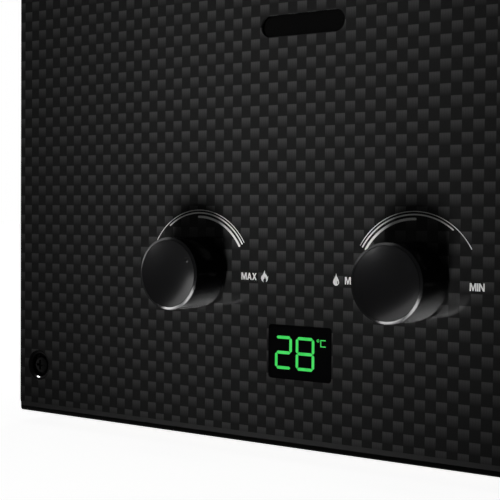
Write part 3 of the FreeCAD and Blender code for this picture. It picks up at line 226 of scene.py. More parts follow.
finishes = {
    # Lacquered carbon-pattern film: black with grey squares. Its gloss is kept low against the white room.
    "carbon_panel": carbon_film(),
    # Polyester powder coat on steel: satin black with a fine orange peel, drawn at 0.8 mm.
    "black_steel": grained("black_powder_coat", "#151516", "#1e1e20", 0.8, (0.42, 0.55), 0.02),
    # Black zinc on pressed screws: darker and sharper than the paint, with worn lighter patches.
    "black_screws": grained("black_zinc_plate", "#0e0e10", "#1d1d20", 0.5, (0.25, 0.4), 0.008, Metallic=0.6),
    # Bright zinc on sheet steel: pale grey, rolled along X.
    "zinc_steel": grained("bright_zinc_plate", "#8f9396", "#b4b8ba", 1.2, (0.28, 0.45), 0.01,
                          (6, 1, 1), Metallic=1.0),
    # Moulded nitrile rubber feet: matt charcoal with a dusty bloom.
    "rubber": grained("moulded_nitrile_rubber", "#161616", "#252525", 0.6, (0.75, 0.9), 0.02,
                      Specular_IOR_Level=0.3),
    # Thermoplastic elastomer grip: soft satin with a pebble texture 0.7 mm across.
    "grip_rubber": grained("pebbled_elastomer", "#141415", "#202022", 0.7, (0.55, 0.7), 0.05,
                           Specular_IOR_Level=0.35),
    # ABS knobs with spark-eroded faces: near black, fine satin grain drawn at 0.35 mm.
    "knob_plastic": grained("satin_abs", "#060607", "#09090a", 0.35, (0.14, 0.18), 0.0,
                            Specular_IOR_Level=0.028),
    # ABS inner housings: a slightly paler black, moulded satin.
    "black_plastic": grained("moulded_abs", "#151516", "#1f1f20", 0.5, (0.4, 0.55), 0.008,
                             Specular_IOR_Level=0.3),
    # Smoked acrylic display pane: polished, so dark that only lit segments show.
    "display_acrylic": grained("smoked_acrylic", "#020203", "#030304", 6.0, (0.05, 0.09), 0.0,
                               IOR=1.49, Specular_IOR_Level=0.01),
    "circuit_board": circuit_board(),
    "sight_glass": sight_glass(),
    # Turned free-cutting brass: warm yellow, turning rings drawn at 0.5 mm along Z.
    "brass": grained("turned_brass", "#a8823e", "#d0aa62", 0.5, (0.22, 0.36), 0.01, (8, 8, 1), Metallic=1.0),
    # Die-cast aluminium: mid grey, open matt skin.
    "cast_aluminium": grained("die_cast_aluminium", "#83868a", "#a3a6a9", 1.4, (0.45, 0.6), 0.03,
                              Metallic=1.0),
    # Phosphorus-deoxidised copper: salmon, browned in clouds by the heat.
    "copper": grained("heat_browned_copper", "#7c4a33", "#bd7a55", 9.0, (0.28, 0.5), 0.01, Metallic=1.0),
    "burner_steel": burner_steel(),
    # Sintered alumina: off-white and dead matt, with a fine grain.
    "ceramic": grained("sintered_alumina", "#d6d2c6", "#e9e6dc", 0.6, (0.55, 0.7), 0.01),
    # Shrunk PVC jacket of the cells: plain grey, glossy.
    "battery_jacket": grained("shrunk_pvc_jacket", "#44474a", "#54575a", 2.5, (0.2, 0.3), 0.01),
}
# Baked enamel of the screw cups: black, its near-black partly painted shade of the dimples, and smooth enough
# to hold a small hard gleam.
cup_enamel_and_shade = grained("black_enamel_painted_shade", "#030303", "#050505", 0.8, (0.12, 0.16), 0.0, Specular_IOR_Level=0.014)
# Black zinc under enamel on the heads of the cover's screws, darkened further as painted shade of their cups.
head_enamel_and_shade = grained("enamelled_screw_steel", "#060606", "#0a0a0a", 0.5, (0.3, 0.4), 0.004,
                      Specular_IOR_Level=0.03)
# White screen ink on the lacquer: slightly broken at its edge by the mesh, drawn at 0.25 mm.
screen_ink = grained("white_screen_ink", "#d2d2d0", "#f0f0ee", 0.25, (0.45, 0.6), 0.002,
                     Specular_IOR_Level=0.2)
lit_segments = lit_display()

slot_of = {part["node"]: part["material_slot"] for part in frame["record"]["subparts"]}
body_of = {node: body for body, members in frame["record"]["behaviour"]["bodies"].items() for node in members}
for node_name, node_object in frame["nodes"].items():
    node_object.data.materials.clear()
    node_object.data.materials.append(finishes[slot_of[node_name]])


# Pieces

COVER_LOW = 5.0
COVER_HIGH = 385.0
COVER_FOLD_R = 5.0
FOLD_POWER = 9.0


def piece(name, mesh, material, body, replaced=()):
    """A finished piece at the origin, riding on its body and standing for the nodes it replaces."""
    mesh.materials.clear()
    mesh.materials.append(material)
    made = bpy.data.objects.new(name, mesh)
    bpy.context.scene.collection.objects.link(made)
    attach(made, body)
    if replaced:
        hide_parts(*replaced)
    return made


def plain_mesh(source):
    """The mesh of an object with its modifiers applied. The object itself is removed."""
    bpy.context.view_layer.update()
    evaluated = source.evaluated_get(bpy.context.evaluated_depsgraph_get())
    mesh = bpy.data.meshes.new_from_object(evaluated)
    bpy.data.objects.remove(source)
    return mesh


def smooth_faces(mesh, sharpest, recalculate=True):
    """Merges doubles, points the faces outwards and keeps only the creases above an angle, in degrees."""
    work = bmesh.new()
    work.from_mesh(mesh)
    bmesh.ops.remove_doubles(work, verts=work.verts, dist=2e-6)
    if recalculate:
        bmesh.ops.recalc_face_normals(work, faces=work.faces)
    for face in work.faces:
        face.smooth = True
    for edge in work.edges:
        edge.smooth = edge.calc_face_angle(math.pi) < math.radians(sharpest)
    work.to_mesh(mesh)
    work.free()
    if "custom_normal" in mesh.attributes:
        mesh.attributes.remove(mesh.attributes["custom_normal"])


def square_the_folds(mesh):
    """Draws the cover's round folds at head and foot out to crisp ones, as photographed at the foot."""
    inward = FRONT + COVER_FOLD_R
    for low, way in ((COVER_LOW, 1), (COVER_HIGH, -1)):
        centre = Vector((inward, low + way * COVER_FOLD_R))
        for vertex in mesh.vertices:
            ray = Vector((vertex.co.y, vertex.co.z)) / MM - centre
            outside = ray.x < 0 and ray.y * way < 0 and abs(ray.length - COVER_FOLD_R) < 0.05
            if outside:
                reach = (abs(ray.x) ** FOLD_POWER + abs(ray.y) ** FOLD_POWER) ** (1 / FOLD_POWER)
                ray /= reach / COVER_FOLD_R
                vertex.co.y, vertex.co.z = (centre + ray) * MM


def rounded_copy(node, name, sharpest=40):
    """A node's own shape with its curves shaded as curves and its flats kept flat."""
    mesh = frame["nodes"][node].data.copy()
    if node == "front_cover":
        square_the_folds(mesh)
    smooth_faces(mesh, sharpest, recalculate=False)
    holder = bpy.data.objects.new(name + "_work", mesh)
    bpy.context.scene.collection.objects.link(holder)
    weights = holder.modifiers.new("flats", "WEIGHTED_NORMAL")
    weights.keep_sharp = True
    weights.weight = 90
    slot = slot_of[node]
    return piece(name, plain_mesh(holder), finishes[slot], body_of[node], (node,))


for node_name, piece_name in {
    "front_cover": "front_cover_film", "back_plate": "back_plate_coat", "rain_cap": "rain_cap_coat",
    "handle_bar": "handle_bar_coat", "handle_grip": "handle_grip_sleeve", "handle_pins": "handle_pin_plate",
    "handle_bracket_right": "bracket_right_coat", "handle_bracket_left": "bracket_left_coat",
    "rubber_feet": "rubber_feet_moulded", "drain_plug": "drain_plug_moulded",
    "battery_door": "battery_door_moulded",
}.items():
    rounded_copy(node_name, piece_name)


def turned_mesh(name, outline, sides, closed=False):
    """A mesh of revolution about Z from (radius, height) points: pinched at the axis, or closed on itself."""
    work = bmesh.new()
    rings = []
    for radius, height in outline:
        if radius < 1e-6:
            rings.append([work.verts.new((0, 0, height * MM))] * sides)
            continue
        ring = []
        for number in range(sides):
            angle = 2 * math.pi * number / sides
            spot = (radius * math.cos(angle) * MM, radius * math.sin(angle) * MM, height * MM)
            ring.append(work.verts.new(spot))
        rings.append(ring)
    pairs = list(zip(rings, rings[1:])) + ([(rings[-1], rings[0])] if closed else [])
    for low, high in pairs:
        for number in range(sides):
            after = (number + 1) % sides
            corners = [low[number], low[after], high[after], high[number]]
            distinct = [v for place, v in enumerate(corners) if v not in corners[:place]]
            work.faces.new(distinct)
    bmesh.ops.recalc_face_normals(work, faces=work.faces)
    mesh = bpy.data.meshes.new(name)
    work.to_mesh(mesh)
    work.free()
    return mesh


def out_of_panel(x, z):
    """Lays what is turned about Z on the front panel, its Z pointing out and its Y up."""
    return Matrix.Translation((x * MM, FRONT * MM, z * MM)) @ Matrix.Rotation(math.radians(90), 4, "X")


# The knob stands off the panel by 2 mm. Heights here run from the panel outwards.
KNOB_R = 13.5
KNOB_FRONT = 19.0
KNOB_BACK = 2.0
DISH_R = 12.35
DISH_DEPTH = 1.3
DISH_RINGS = 60
KNOB_SIDES = 192
RIM_R = 13.4
RIM_FALL = 0.3
POINTER_R = 10.0
POINTER_ANGLE = 33.0
POINTER_HOLE = 1.15
POINTER_DEPTH = 0.1
SKIRT_WALL = 1.5
SKIRT_CEILING = 15.5
BOSS_R = 5.0
BOSS_END = 1.0
BORE_R = 3.02
BORE_END = 14.5
FACE_LOW = 16.6


def knob(name, x, body, nodes):
    """A moulded knob: dished face with a pointer dimple, a fine step, a rolled rim and a hollow skirt."""
    outline = [(DISH_R * n / DISH_RINGS, 0) for n in range(DISH_RINGS + 1)]
    outline = [(r, KNOB_FRONT - DISH_DEPTH * (1 - (r / DISH_R) ** 2)) for r, _ in outline]
    outline += [(DISH_R + 0.05, KNOB_FRONT - 0.14), (DISH_R + 0.13, KNOB_FRONT - 0.13)]
    outline += [(DISH_R + 0.18, KNOB_FRONT), (RIM_R, KNOB_FRONT - RIM_FALL)]
    roll = KNOB_R - RIM_R
    for step in range(1, 6):
        angle = math.radians(90 * step / 5)
        outline.append((RIM_R + roll * math.sin(angle), KNOB_FRONT - RIM_FALL - roll * (1 - math.cos(angle))))
    outline += [(KNOB_R, KNOB_BACK + 0.15), (KNOB_R - 0.15, KNOB_BACK)]
    outline += [(KNOB_R - SKIRT_WALL, KNOB_BACK), (KNOB_R - SKIRT_WALL, SKIRT_CEILING)]
    outline += [(BOSS_R, SKIRT_CEILING), (BOSS_R, BOSS_END)]
    outline += [(BORE_R, BOSS_END), (BORE_R, BORE_END), (0.0, BORE_END)]
    mesh = turned_mesh(name, outline, KNOB_SIDES)
    angle = math.radians(POINTER_ANGLE)
    pointer = Vector((POINTER_R * math.cos(angle), POINTER_R * math.sin(angle)))
    for vertex in mesh.vertices:
        across = (Vector(vertex.co[:2]) / MM - pointer).length / POINTER_HOLE
        if vertex.co.z > FACE_LOW * MM and across < 1:
            vertex.co.z -= POINTER_DEPTH * MM * (1 - across ** 2)
    smooth_faces(mesh, 32)
    mesh.transform(out_of_panel(x, KNOB_Z))
    return piece(name, mesh, finishes["knob_plastic"], body, nodes)


glossy_pieces = [
    knob("gas_knob_shell", -KNOB_X, "gas_control", ("gas_knob",)),
    knob("water_knob_shell", KNOB_X, "water_control", ("water_knob",)),
]


# Geometry Nodes: screws and pipe threads

def new_tree(name, inputs):
    """A geometry tree with named inputs, given as (name, kind, value) rows, and its input node."""
    tree = bpy.data.node_groups.new(name, "GeometryNodeTree")
    tree.interface.new_socket("Geometry", in_out="INPUT", socket_type="NodeSocketGeometry")
    for label, kind, value in inputs:
        socket = tree.interface.new_socket(label, in_out="INPUT", socket_type=kind)
        if value is not None:
            socket.default_value = value
    tree.interface.new_socket("Geometry", in_out="OUTPUT", socket_type="NodeSocketGeometry")
    return tree, add(tree, "NodeGroupInput")


def grown(name, tree, start, values):
    """The plain mesh that a geometry tree makes from a start mesh and values for its named inputs."""
    holder = bpy.data.objects.new(name + "_work", start)
    bpy.context.scene.collection.objects.link(holder)
    modifier = holder.modifiers.new("grow", "NODES")
    modifier.node_group = tree
    for item in tree.interface.items_tree:
        if item.item_type == "SOCKET" and item.in_out == "INPUT" and item.name in values:
            modifier[item.identifier] = values[item.name]
    mesh = plain_mesh(holder)
    mesh.name = name
    return mesh


def math_node(tree, operation, first, second=0.0, third=0.0):
    """The result of one sum in a tree."""
    return add(tree, "ShaderNodeMath", {0: first, 1: second, 2: third}, operation=operation).outputs[0]


def finish_tree(tree, shape, given):
    """Ends a tree with its shape in the material that it was given."""
    feeds = {0: shape.outputs[0], "Material": given.outputs["Material"]}
    painted = add(tree, "GeometryNodeSetMaterial", feeds)
    add(tree, "NodeGroupOutput", {0: painted.outputs[0]})


def screw_tree():
    """Pan-head screws with a cross recess, one at each point, each along its point's outward direction."""
    tree, given = new_tree("cross_head_screws", (
        ("Head radius", "NodeSocketFloat", 0.0037), ("Head height", "NodeSocketFloat", 0.0023),
        ("Shank radius", "NodeSocketFloat", 0.002), ("Shank length", "NodeSocketFloat", 0.009),
        ("Material", "NodeSocketMaterial", None),
    ))
    # The head is a grid rolled round its axis: X turns round it, Y runs from its crown to its seat.
    grid = add(tree, "GeometryNodeMeshGrid", {
        "Size X": math.tau, "Size Y": math.pi, "Vertices X": 41, "Vertices Y": 25,
    })
    place = add(tree, "ShaderNodeSeparateXYZ", {0: add(tree, "GeometryNodeInputPosition").outputs[0]})
    fall = math_node(tree, "ADD", place.outputs["Y"], math.pi / 2)
    out = math_node(tree, "POWER", math_node(tree, "MAXIMUM", math_node(tree, "SINE", fall)), 0.5)
    rise = math_node(tree, "POWER", math_node(tree, "MAXIMUM", math_node(tree, "COSINE", fall)), 0.6)
    radius = math_node(tree, "MULTIPLY", out, given.outputs["Head radius"])
    rolled = add(tree, "ShaderNodeCombineXYZ", {
        "X": math_node(tree, "MULTIPLY", radius, math_node(tree, "COSINE", place.outputs["X"])),
        "Y": math_node(tree, "MULTIPLY", radius, math_node(tree, "SINE", place.outputs["X"])),
        "Z": math_node(tree, "MULTIPLY", rise, given.outputs["Head height"]),
    })
    head = add(tree, "GeometryNodeSetPosition", {
        "Geometry": grid.outputs["Mesh"], "Position": rolled.outputs[0],
    })
    head = add(tree, "GeometryNodeMergeByDistance", {"Geometry": head.outputs[0], "Distance": 1e-6})
    long = math_node(tree, "MULTIPLY", given.outputs["Head radius"], 1.15)
    thin = math_node(tree, "MULTIPLY", given.outputs["Head radius"], 0.26)
    deep = math_node(tree, "MULTIPLY", given.outputs["Head height"], 1.1)
    raised = add(tree, "ShaderNodeCombineXYZ", {"Z": given.outputs["Head height"]})
    bars = []
    for first, second in ((long, thin), (thin, long)):
        size = add(tree, "ShaderNodeCombineXYZ", {"X": first, "Y": second, "Z": deep})
        bar = add(tree, "GeometryNodeMeshCube", {"Size": size.outputs[0]})
        moved = {"Geometry": bar.outputs[0], "Translation": raised.outputs[0]}
        bars.append(add(tree, "GeometryNodeTransform", moved))
    recess = add(tree, "GeometryNodeMeshBoolean", operation="DIFFERENCE", solver="EXACT")
    tree.links.new(head.outputs[0], recess.inputs["Mesh 1"])
    for bar in bars:
        tree.links.new(bar.outputs[0], recess.inputs["Mesh 2"])
    shank = add(tree, "GeometryNodeMeshCylinder", {
        "Vertices": 16, "Radius": given.outputs["Shank radius"], "Depth": given.outputs["Shank length"],
    })
    below = math_node(tree, "MULTIPLY", given.outputs["Shank length"], -0.5)
    lowered = add(tree, "ShaderNodeCombineXYZ", {"Z": below})
    shank = add(tree, "GeometryNodeTransform", {
        "Geometry": shank.outputs["Mesh"], "Translation": lowered.outputs[0],
    })
    whole = add(tree, "GeometryNodeJoinGeometry")
    for part in (recess.outputs["Mesh"], shank.outputs[0]):
        tree.links.new(part, whole.inputs[0])
    outward = add(tree, "GeometryNodeInputNamedAttribute", {"Name": "outward"}, data_type="FLOAT_VECTOR")
    turn = add(tree, "FunctionNodeAlignRotationToVector", {"Vector": outward.outputs["Attribute"]}, axis="Z")
    placed = add(tree, "GeometryNodeInstanceOnPoints", {
        "Points": given.outputs["Geometry"], "Instance": whole.outputs[0], "Rotation": turn.outputs[0],
    })
    real = add(tree, "GeometryNodeRealizeInstances", {0: placed.outputs[0]})
    finish_tree(tree, real, given)
    return tree


def thread_tree():
    """A pipe thread: one ridge of V section wound up a stem."""
    tree, given = new_tree("pipe_thread", (
        ("Core radius", "NodeSocketFloat", 0.0093), ("Depth", "NodeSocketFloat", 0.0011),
        ("Pitch", "NodeSocketFloat", 0.0018), ("Length", "NodeSocketFloat", 0.012),
        ("Material", "NodeSocketMaterial", None),
    ))
    turns = math_node(tree, "DIVIDE", given.outputs["Length"], given.outputs["Pitch"])
    wound = add(tree, "GeometryNodeCurveSpiral", {
        "Resolution": 36, "Rotations": turns, "Start Radius": given.outputs["Core radius"],
        "End Radius": given.outputs["Core radius"], "Height": given.outputs["Length"],
    })
    upright = add(tree, "GeometryNodeSetCurveNormal", {"Curve": wound.outputs[0]}, mode="Z_UP")
    ridge = add(tree, "GeometryNodeCurvePrimitiveCircle", {"Resolution": 3, "Radius": 1.0})
    # The triangle's height is 1.5 and its foot 1.73, so these factors bring it to the depth and pitch.
    wide = math_node(tree, "MULTIPLY", given.outputs["Pitch"], 0.5)
    high = math_node(tree, "MULTIPLY", given.outputs["Depth"], 0.68)
    scale = add(tree, "ShaderNodeCombineXYZ", {"X": high, "Y": wide, "Z": 1.0})
    sized = add(tree, "GeometryNodeTransform", {"Geometry": ridge.outputs[0], "Scale": scale.outputs[0]})
    stood = add(tree, "GeometryNodeTransform", {
        "Geometry": sized.outputs[0], "Rotation": (0, 0, math.pi / 2),
    })
    swept = add(tree, "GeometryNodeCurveToMesh", {
        "Curve": upright.outputs[0], "Profile Curve": stood.outputs[0], "Fill Caps": True,
    })
    real = add(tree, "GeometryNodeRealizeInstances", {0: swept.outputs[0]})
    finish_tree(tree, real, given)
    return tree


def point_mesh(name, places):
    """Loose points, each with its outward direction."""
    mesh = bpy.data.meshes.new(name)
    mesh.from_pydata([Vector(place) * MM for place, _ in places], [], [])
    outward = mesh.attributes.new("outward", "FLOAT_VECTOR", "POINT")
    for item, (_, direction) in zip(outward.data, places):
        item.vector = direction
    return mesh


screws = screw_tree()
front_places = [((x, FRONT + 3.0, z), (0, -1, 0)) for x in (-132.9, 132.9) for z in (25.3, 364.7)]
cap_places = [((x, y, 385.0), (0, 0, 1)) for x in (-70, 70) for y in (-35.5, 39.5)]
side_places = [((side * 145.0, 62.5, z), (side, 0, 0)) for side in (-1, 1) for z in (70, 200, 320)]
for screw_name, places, sizes, node_name, finish in (
    ("cover_screw_heads", front_places, (3.7, 2.3, 2.0, 9.0), "cover_screws", head_enamel_and_shade),
    ("cap_screw_heads", cap_places, (3.0, 1.8, 1.5, 6.0), "cap_screws", finishes["black_screws"]),
    ("side_screw_heads", side_places, (3.2, 1.6, 1.55, 6.0), "side_screws", finishes["black_screws"]),
):
    labels = ("Head radius", "Head height", "Shank radius", "Shank length")
    values = {label: size * MM for label, size in zip(labels, sizes)}
    values["Material"] = finish
    heads = grown(screw_name, screws, point_mesh(screw_name + "_points", places), values)
    smooth_faces(heads, 35)
    piece(screw_name, heads, finish, "case", (node_name,))


# Each cover screw sits in a pressed cup: radius and height above the panel, from lip to foot and back.
CUP = [(6.3, 0.02), (6.15, 0.08), (5.95, 0.02), (5.7, -0.08), (5.45, -0.2), (5.2, -0.35), (4.98, -0.54),
       (4.8, -0.77), (4.66, -1.05), (4.56, -1.4), (4.5, -1.9), (4.46, -2.6), (4.56, -2.6), (5.0, -1.6),
       (5.6, -0.6), (6.05, -0.01)]


def screw_cups():
    """The four pressed cups that line the dimples round the cover's screws."""
    work = bmesh.new()
    for (x, _, z), _ in front_places:
        ring = turned_mesh("cup_work", CUP, 72, closed=True)
        ring.transform(out_of_panel(x, z))
        work.from_mesh(ring)
        bpy.data.meshes.remove(ring)
    mesh = bpy.data.meshes.new("cover_screw_cups")
    work.to_mesh(mesh)
    work.free()
    smooth_faces(mesh, 50)
    return piece("cover_screw_cups", mesh, cup_enamel_and_shade, "case")


cups = screw_cups()


def ring_of_hexagon(across, sides):
    """The radius of a hexagon at each of some points round it."""
    radii = []
    for number in range(sides):
        angle = (2 * math.pi * number / sides + math.pi / 6) % (math.pi / 3) - math.pi / 6
        radii.append(across / 2 / math.cos(angle))
    return radii


threads = thread_tree()
STEM_LOW = 2.0
THREAD_TOP = 16.0
SHOULDER = (22.0, 30.0)
FITTING_Y = -7.0


def fitting(name, node, x, major, pitch, depth, bore, across):
    """A turned fitting: hexagonal shoulder, plain neck, and a stem that carries its wound thread."""
    core = major - depth
    neck = major - 0.3
    work = bmesh.new()
    sides = 72
    hexagon = ring_of_hexagon(across, sides)
    rows = [
        (core - 0.7, STEM_LOW), (core, STEM_LOW + 0.7), (core, THREAD_TOP - 0.4), (neck, THREAD_TOP),
        (neck, SHOULDER[0]), (None, SHOULDER[0]), (None, SHOULDER[1]), (bore, SHOULDER[1]), (bore, STEM_LOW),
    ]
    rings = []
    for radius, height in rows:
        ring = []
        for number in range(sides):
            angle = 2 * math.pi * number / sides
            reach = hexagon[number] if radius is None else radius
            spot = (reach * math.cos(angle) * MM, reach * math.sin(angle) * MM, height * MM)
            ring.append(work.verts.new(spot))
        rings.append(ring)
    for low, high in zip(rings, rings[1:] + rings[:1]):
        for number in range(sides):
            after = (number + 1) % sides
            work.faces.new((low[number], low[after], high[after], high[number]))
    values = {"Core radius": (core + 0.34 * depth) * MM, "Depth": depth * MM, "Pitch": pitch * MM,
              "Length": (THREAD_TOP - STEM_LOW - pitch - 1.2) * MM, "Material": finishes["brass"]}
    wound = grown(name + "_thread", threads, bpy.data.meshes.new(name + "_start"), values)
    wound.transform(Matrix.Translation((0, 0, (STEM_LOW + pitch * 0.5 + 0.5) * MM)))
    work.from_mesh(wound)
    mesh = bpy.data.meshes.new(name)
    work.to_mesh(mesh)
    work.free()
    smooth_faces(mesh, 28)
    mesh.transform(Matrix.Translation((x * MM, FITTING_Y * MM, 0)))
    piece(name, mesh, finishes["brass"], "case", (node,))


# G 1/2 has 14 threads to the inch and G 3/8 has 19.
fitting("hot_outlet_fitting", "water_outlet", -96.0, 10.48, 1.814, 1.16, 5.0, 27)
fitting("cold_inlet_fitting", "water_inlet", 46.0, 10.48, 1.814, 1.16, 7.0, 27)
fitting("gas_inlet_fitting", "gas_inlet", -46.0, 8.33, 1.337, 0.86, 5.0, 22)


# Print on the panel and the lit display

def flat_print(name, outlines, material, body="case", depth=INK_DEPTH):
    """Closed outlines in X and Z, filled and laid on the front panel with a small thickness."""
    curve = bpy.data.curves.new(name, "CURVE")
    curve.dimensions = "2D"
    curve.fill_mode = "BOTH"
    curve.extrude = depth * MM / 2
    for outline in outlines:
        spline = curve.splines.new("POLY")
        spline.points.add(len(outline) - 1)
        for point, (x, z) in zip(spline.points, outline):
            point.co = (x * MM, z * MM, 0, 1)
        spline.use_cyclic_u = True
    holder = bpy.data.objects.new(name + "_work", curve)
    bpy.context.scene.collection.objects.link(holder)
    mesh = plain_mesh(holder)
    lift = Matrix.Translation((0, (FRONT - depth / 2) * MM, 0)) @ Matrix.Rotation(math.radians(90), 4, "X")
    mesh.transform(lift)
    return piece(name, mesh, material, body)


def arc_line(centre, radius, width, start, end):
    """A round-ended arc of a line about a centre, its angles in degrees."""
    half = width / 2
    steps = max(8, int(abs(end - start) / 1.5))
    sweep = [math.radians(start + (end - start) * n / steps) for n in range(steps + 1)]
    outer = [(radius + half, a) for a in sweep]
    inner = [(radius - half, a) for a in reversed(sweep)]
    points = [(centre[0] + r * math.cos(a), centre[1] + r * math.sin(a)) for r, a in outer + inner]
    for place, angle, side in ((len(outer), sweep[-1], 1), (len(points) + 4, sweep[0], -1)):
        direction = 1 if end > start else -1
        middle = (centre[0] + radius * math.cos(angle), centre[1] + radius * math.sin(angle))
        cap = []
        for n in range(1, 5):
            swing = math.pi * n / 5
            out = half * math.cos(swing) * side
            ahead = half * math.sin(swing) * side * direction
            cap.append((middle[0] + out * math.cos(angle) - ahead * math.sin(angle),
                        middle[1] + out * math.sin(angle) + ahead * math.cos(angle)))
        points[place:place] = cap
    return points


LETTERS = {
    "M": (0.93, [[(0, 0), (0, 1), (0.26, 1), (0.465, 0.38), (0.67, 1), (0.93, 1), (0.93, 0), (0.75, 0),
                  (0.75, 0.7), (0.53, 0), (0.4, 0), (0.18, 0.7), (0.18, 0)]]),
    "A": (0.82, [[(0, 0), (0.31, 1), (0.51, 1), (0.82, 0), (0.61, 0), (0.545, 0.22), (0.275, 0.22),
                  (0.21, 0)],
                 [(0.33, 0.39), (0.41, 0.69), (0.49, 0.39)]]),
    "X": (0.78, [[(0, 0), (0.27, 0.51), (0.02, 1), (0.25, 1), (0.39, 0.71), (0.53, 1), (0.76, 1),
                  (0.51, 0.51), (0.78, 0), (0.55, 0), (0.39, 0.3), (0.23, 0)]]),
    "I": (0.2, [[(0, 0), (0, 1), (0.2, 1), (0.2, 0)]]),
    "N": (0.79, [[(0, 0), (0, 1), (0.21, 1), (0.6, 0.36), (0.6, 1), (0.79, 1), (0.79, 0), (0.58, 0),
                  (0.19, 0.64), (0.19, 0)]]),
}
LETTER_GAP = 0.07


def word(text, left, low, height):
    """The outlines of a word in plain bold capitals."""
    outlines = []
    pen = 0.0
    for letter in text:
        width, shapes = LETTERS[letter]
        for shape in shapes:
            outlines.append([(left + (pen + x) * height, low + z * height) for x, z in shape])
        pen += width + LETTER_GAP
    return outlines


def smooth_outline(points, steps=6):
    """A closed curve through points, given as X and Z."""
    curve = []
    count = len(points)
    for number in range(count):
        a, b, c, d = (Vector(points[(number + shift) % count]) for shift in (-1, 0, 1, 2))
        for step in range(steps):
            t = step / steps
            curve.append(tuple(0.5 * (2 * b + (c - a) * t + (2 * a - 5 * b + 4 * c - d) * t ** 2
                                      + (3 * b - a - 3 * c + d) * t ** 3)))
    return curve


DIAL_X = 46.25
DIAL_Z = 67.05

# Left knob: a hairline all the way, a second line from 128 degrees and a third from 91. The right knob has
# the same lines mirrored.
for side, label in ((-1, "gas"), (1, "water")):
    centre = (side * DIAL_X, DIAL_Z)
    lines = [(24.62, 0.27, 150, 31), (23.57, 0.5, 128, 31), (22.05, 0.85, 91, 31)]
    if side > 0:
        lines = [(radius, width, 180 - start, 180 - end) for radius, width, start, end in lines]
    flat_print(label + "_dial_arcs", [arc_line(centre, *line) for line in lines], screen_ink)

TEXT_LOW = 65.85
TEXT_H = 2.6
words = word("MAX", -26.2, TEXT_LOW, TEXT_H) + word("MAX", 19.0, TEXT_LOW, TEXT_H)
words += word("MIN", 67.0, TEXT_LOW - 0.25, TEXT_H) + word("MIN", -72.7, TEXT_LOW - 0.25, TEXT_H)
flat_print("dial_words", words, screen_ink)

# A pointed drop with a highlight cut out of it, and a flame with a curl cut up into it.
drop = [(0, 2.3), (0.18, 1.55), (0.75, 0.55), (1.18, -0.35), (1.22, -1.05), (0.75, -1.75), (0, -2.05),
        (-0.75, -1.75), (-1.22, -1.05), (-1.18, -0.35), (-0.75, 0.55), (-0.18, 1.55)]
gleam = [(0.55, -0.35), (0.82, -0.75), (0.75, -1.2), (0.4, -1.5), (0.5, -1.05), (0.5, -0.7)]
flame = [(0.1, 2.25), (0.3, 1.3), (1.0, 0.55), (1.25, -0.1), (1.55, 0.35), (1.6, -0.5), (1.35, -1.35),
         (0.75, -1.95), (0.85, -1.2), (0.55, -0.55), (0.1, 0.0), (0.05, -0.6), (-0.4, -1.0), (-0.5, -1.6),
         (-0.35, -2.0), (-1.1, -1.5), (-1.5, -0.7), (-1.35, 0.1), (-0.75, 0.75), (-0.35, 1.4)]
icon_z = TEXT_LOW + TEXT_H / 2 + 0.1
icons = [[(15.35 + x, icon_z + z) for x, z in smooth_outline(shape)] for shape in (drop, gleam)]
icons.append([(-15.7 + x, icon_z + z) for x, z in smooth_outline(flame)])
flat_print("dial_icons", icons, screen_ink)


STROKE = 1.1
SEGMENT_GAP = 0.12


def segment(start, end):
    """One lit segment between two corners of a digit: a bar with pointed ends."""
    a, b = Vector(start), Vector(end)
    along = (b - a).normalized()
    across = Vector((-along.y, along.x)) * STROKE / 2
    a += along * SEGMENT_GAP
    b -= along * SEGMENT_GAP
    shoulder = along * STROKE / 2
    return [tuple(p) for p in (a, a + shoulder + across, b - shoulder + across, b, b - shoulder - across,
                               a + shoulder - across)]


def digit(left, right, low, high, lit):
    """A seven-segment digit: the letters of its lit segments, from a at the top to g in the middle."""
    inset = STROKE / 2
    x0, x1, z0, z1 = left + inset, right - inset, low + inset, high - inset
    zm = (z0 + z1) / 2
    bars = {"a": ((x0, z1), (x1, z1)), "b": ((x1, zm), (x1, z1)), "c": ((x1, z0), (x1, zm)),
            "d": ((x0, z0), (x1, z0)), "e": ((x0, z0), (x0, zm)), "f": ((x0, zm), (x0, z1)),
            "g": ((x0, zm), (x1, zm))}
    return [segment(*bars[letter]) for letter in lit]


DIGIT_LOW = 33.75
DIGIT_HIGH = 45.95
shown = digit(-10.65, -3.25, DIGIT_LOW, DIGIT_HIGH, "abged")
shown += digit(-1.55, 6.45, DIGIT_LOW, DIGIT_HIGH, "abcdefg")
flat_print("display_digits", shown, lit_segments, depth=0.04)
ring_outer = arc_line((8.0, 45.1), 0.42, 0.26, 0, 350)
unit = [ring_outer, [(11.2, 45.5), (9.0, 45.5), (9.0, 42.9), (11.2, 42.9), (11.2, 43.25), (9.35, 43.25),
                     (9.35, 45.15), (11.2, 45.15)]]
flat_print("display_unit", unit, lit_segments, depth=0.04)


# Floor, light and camera

def ray_share(tree):
    """1 for rays from the camera and for those seen in gloss or through glass, else 0."""
    rays = add(tree, "ShaderNodeLightPath")
    seen = math_node(tree, "MAXIMUM", rays.outputs["Is Camera Ray"], rays.outputs["Is Glossy Ray"])
    return math_node(tree, "MAXIMUM", seen, rays.outputs["Is Transmission Ray"])


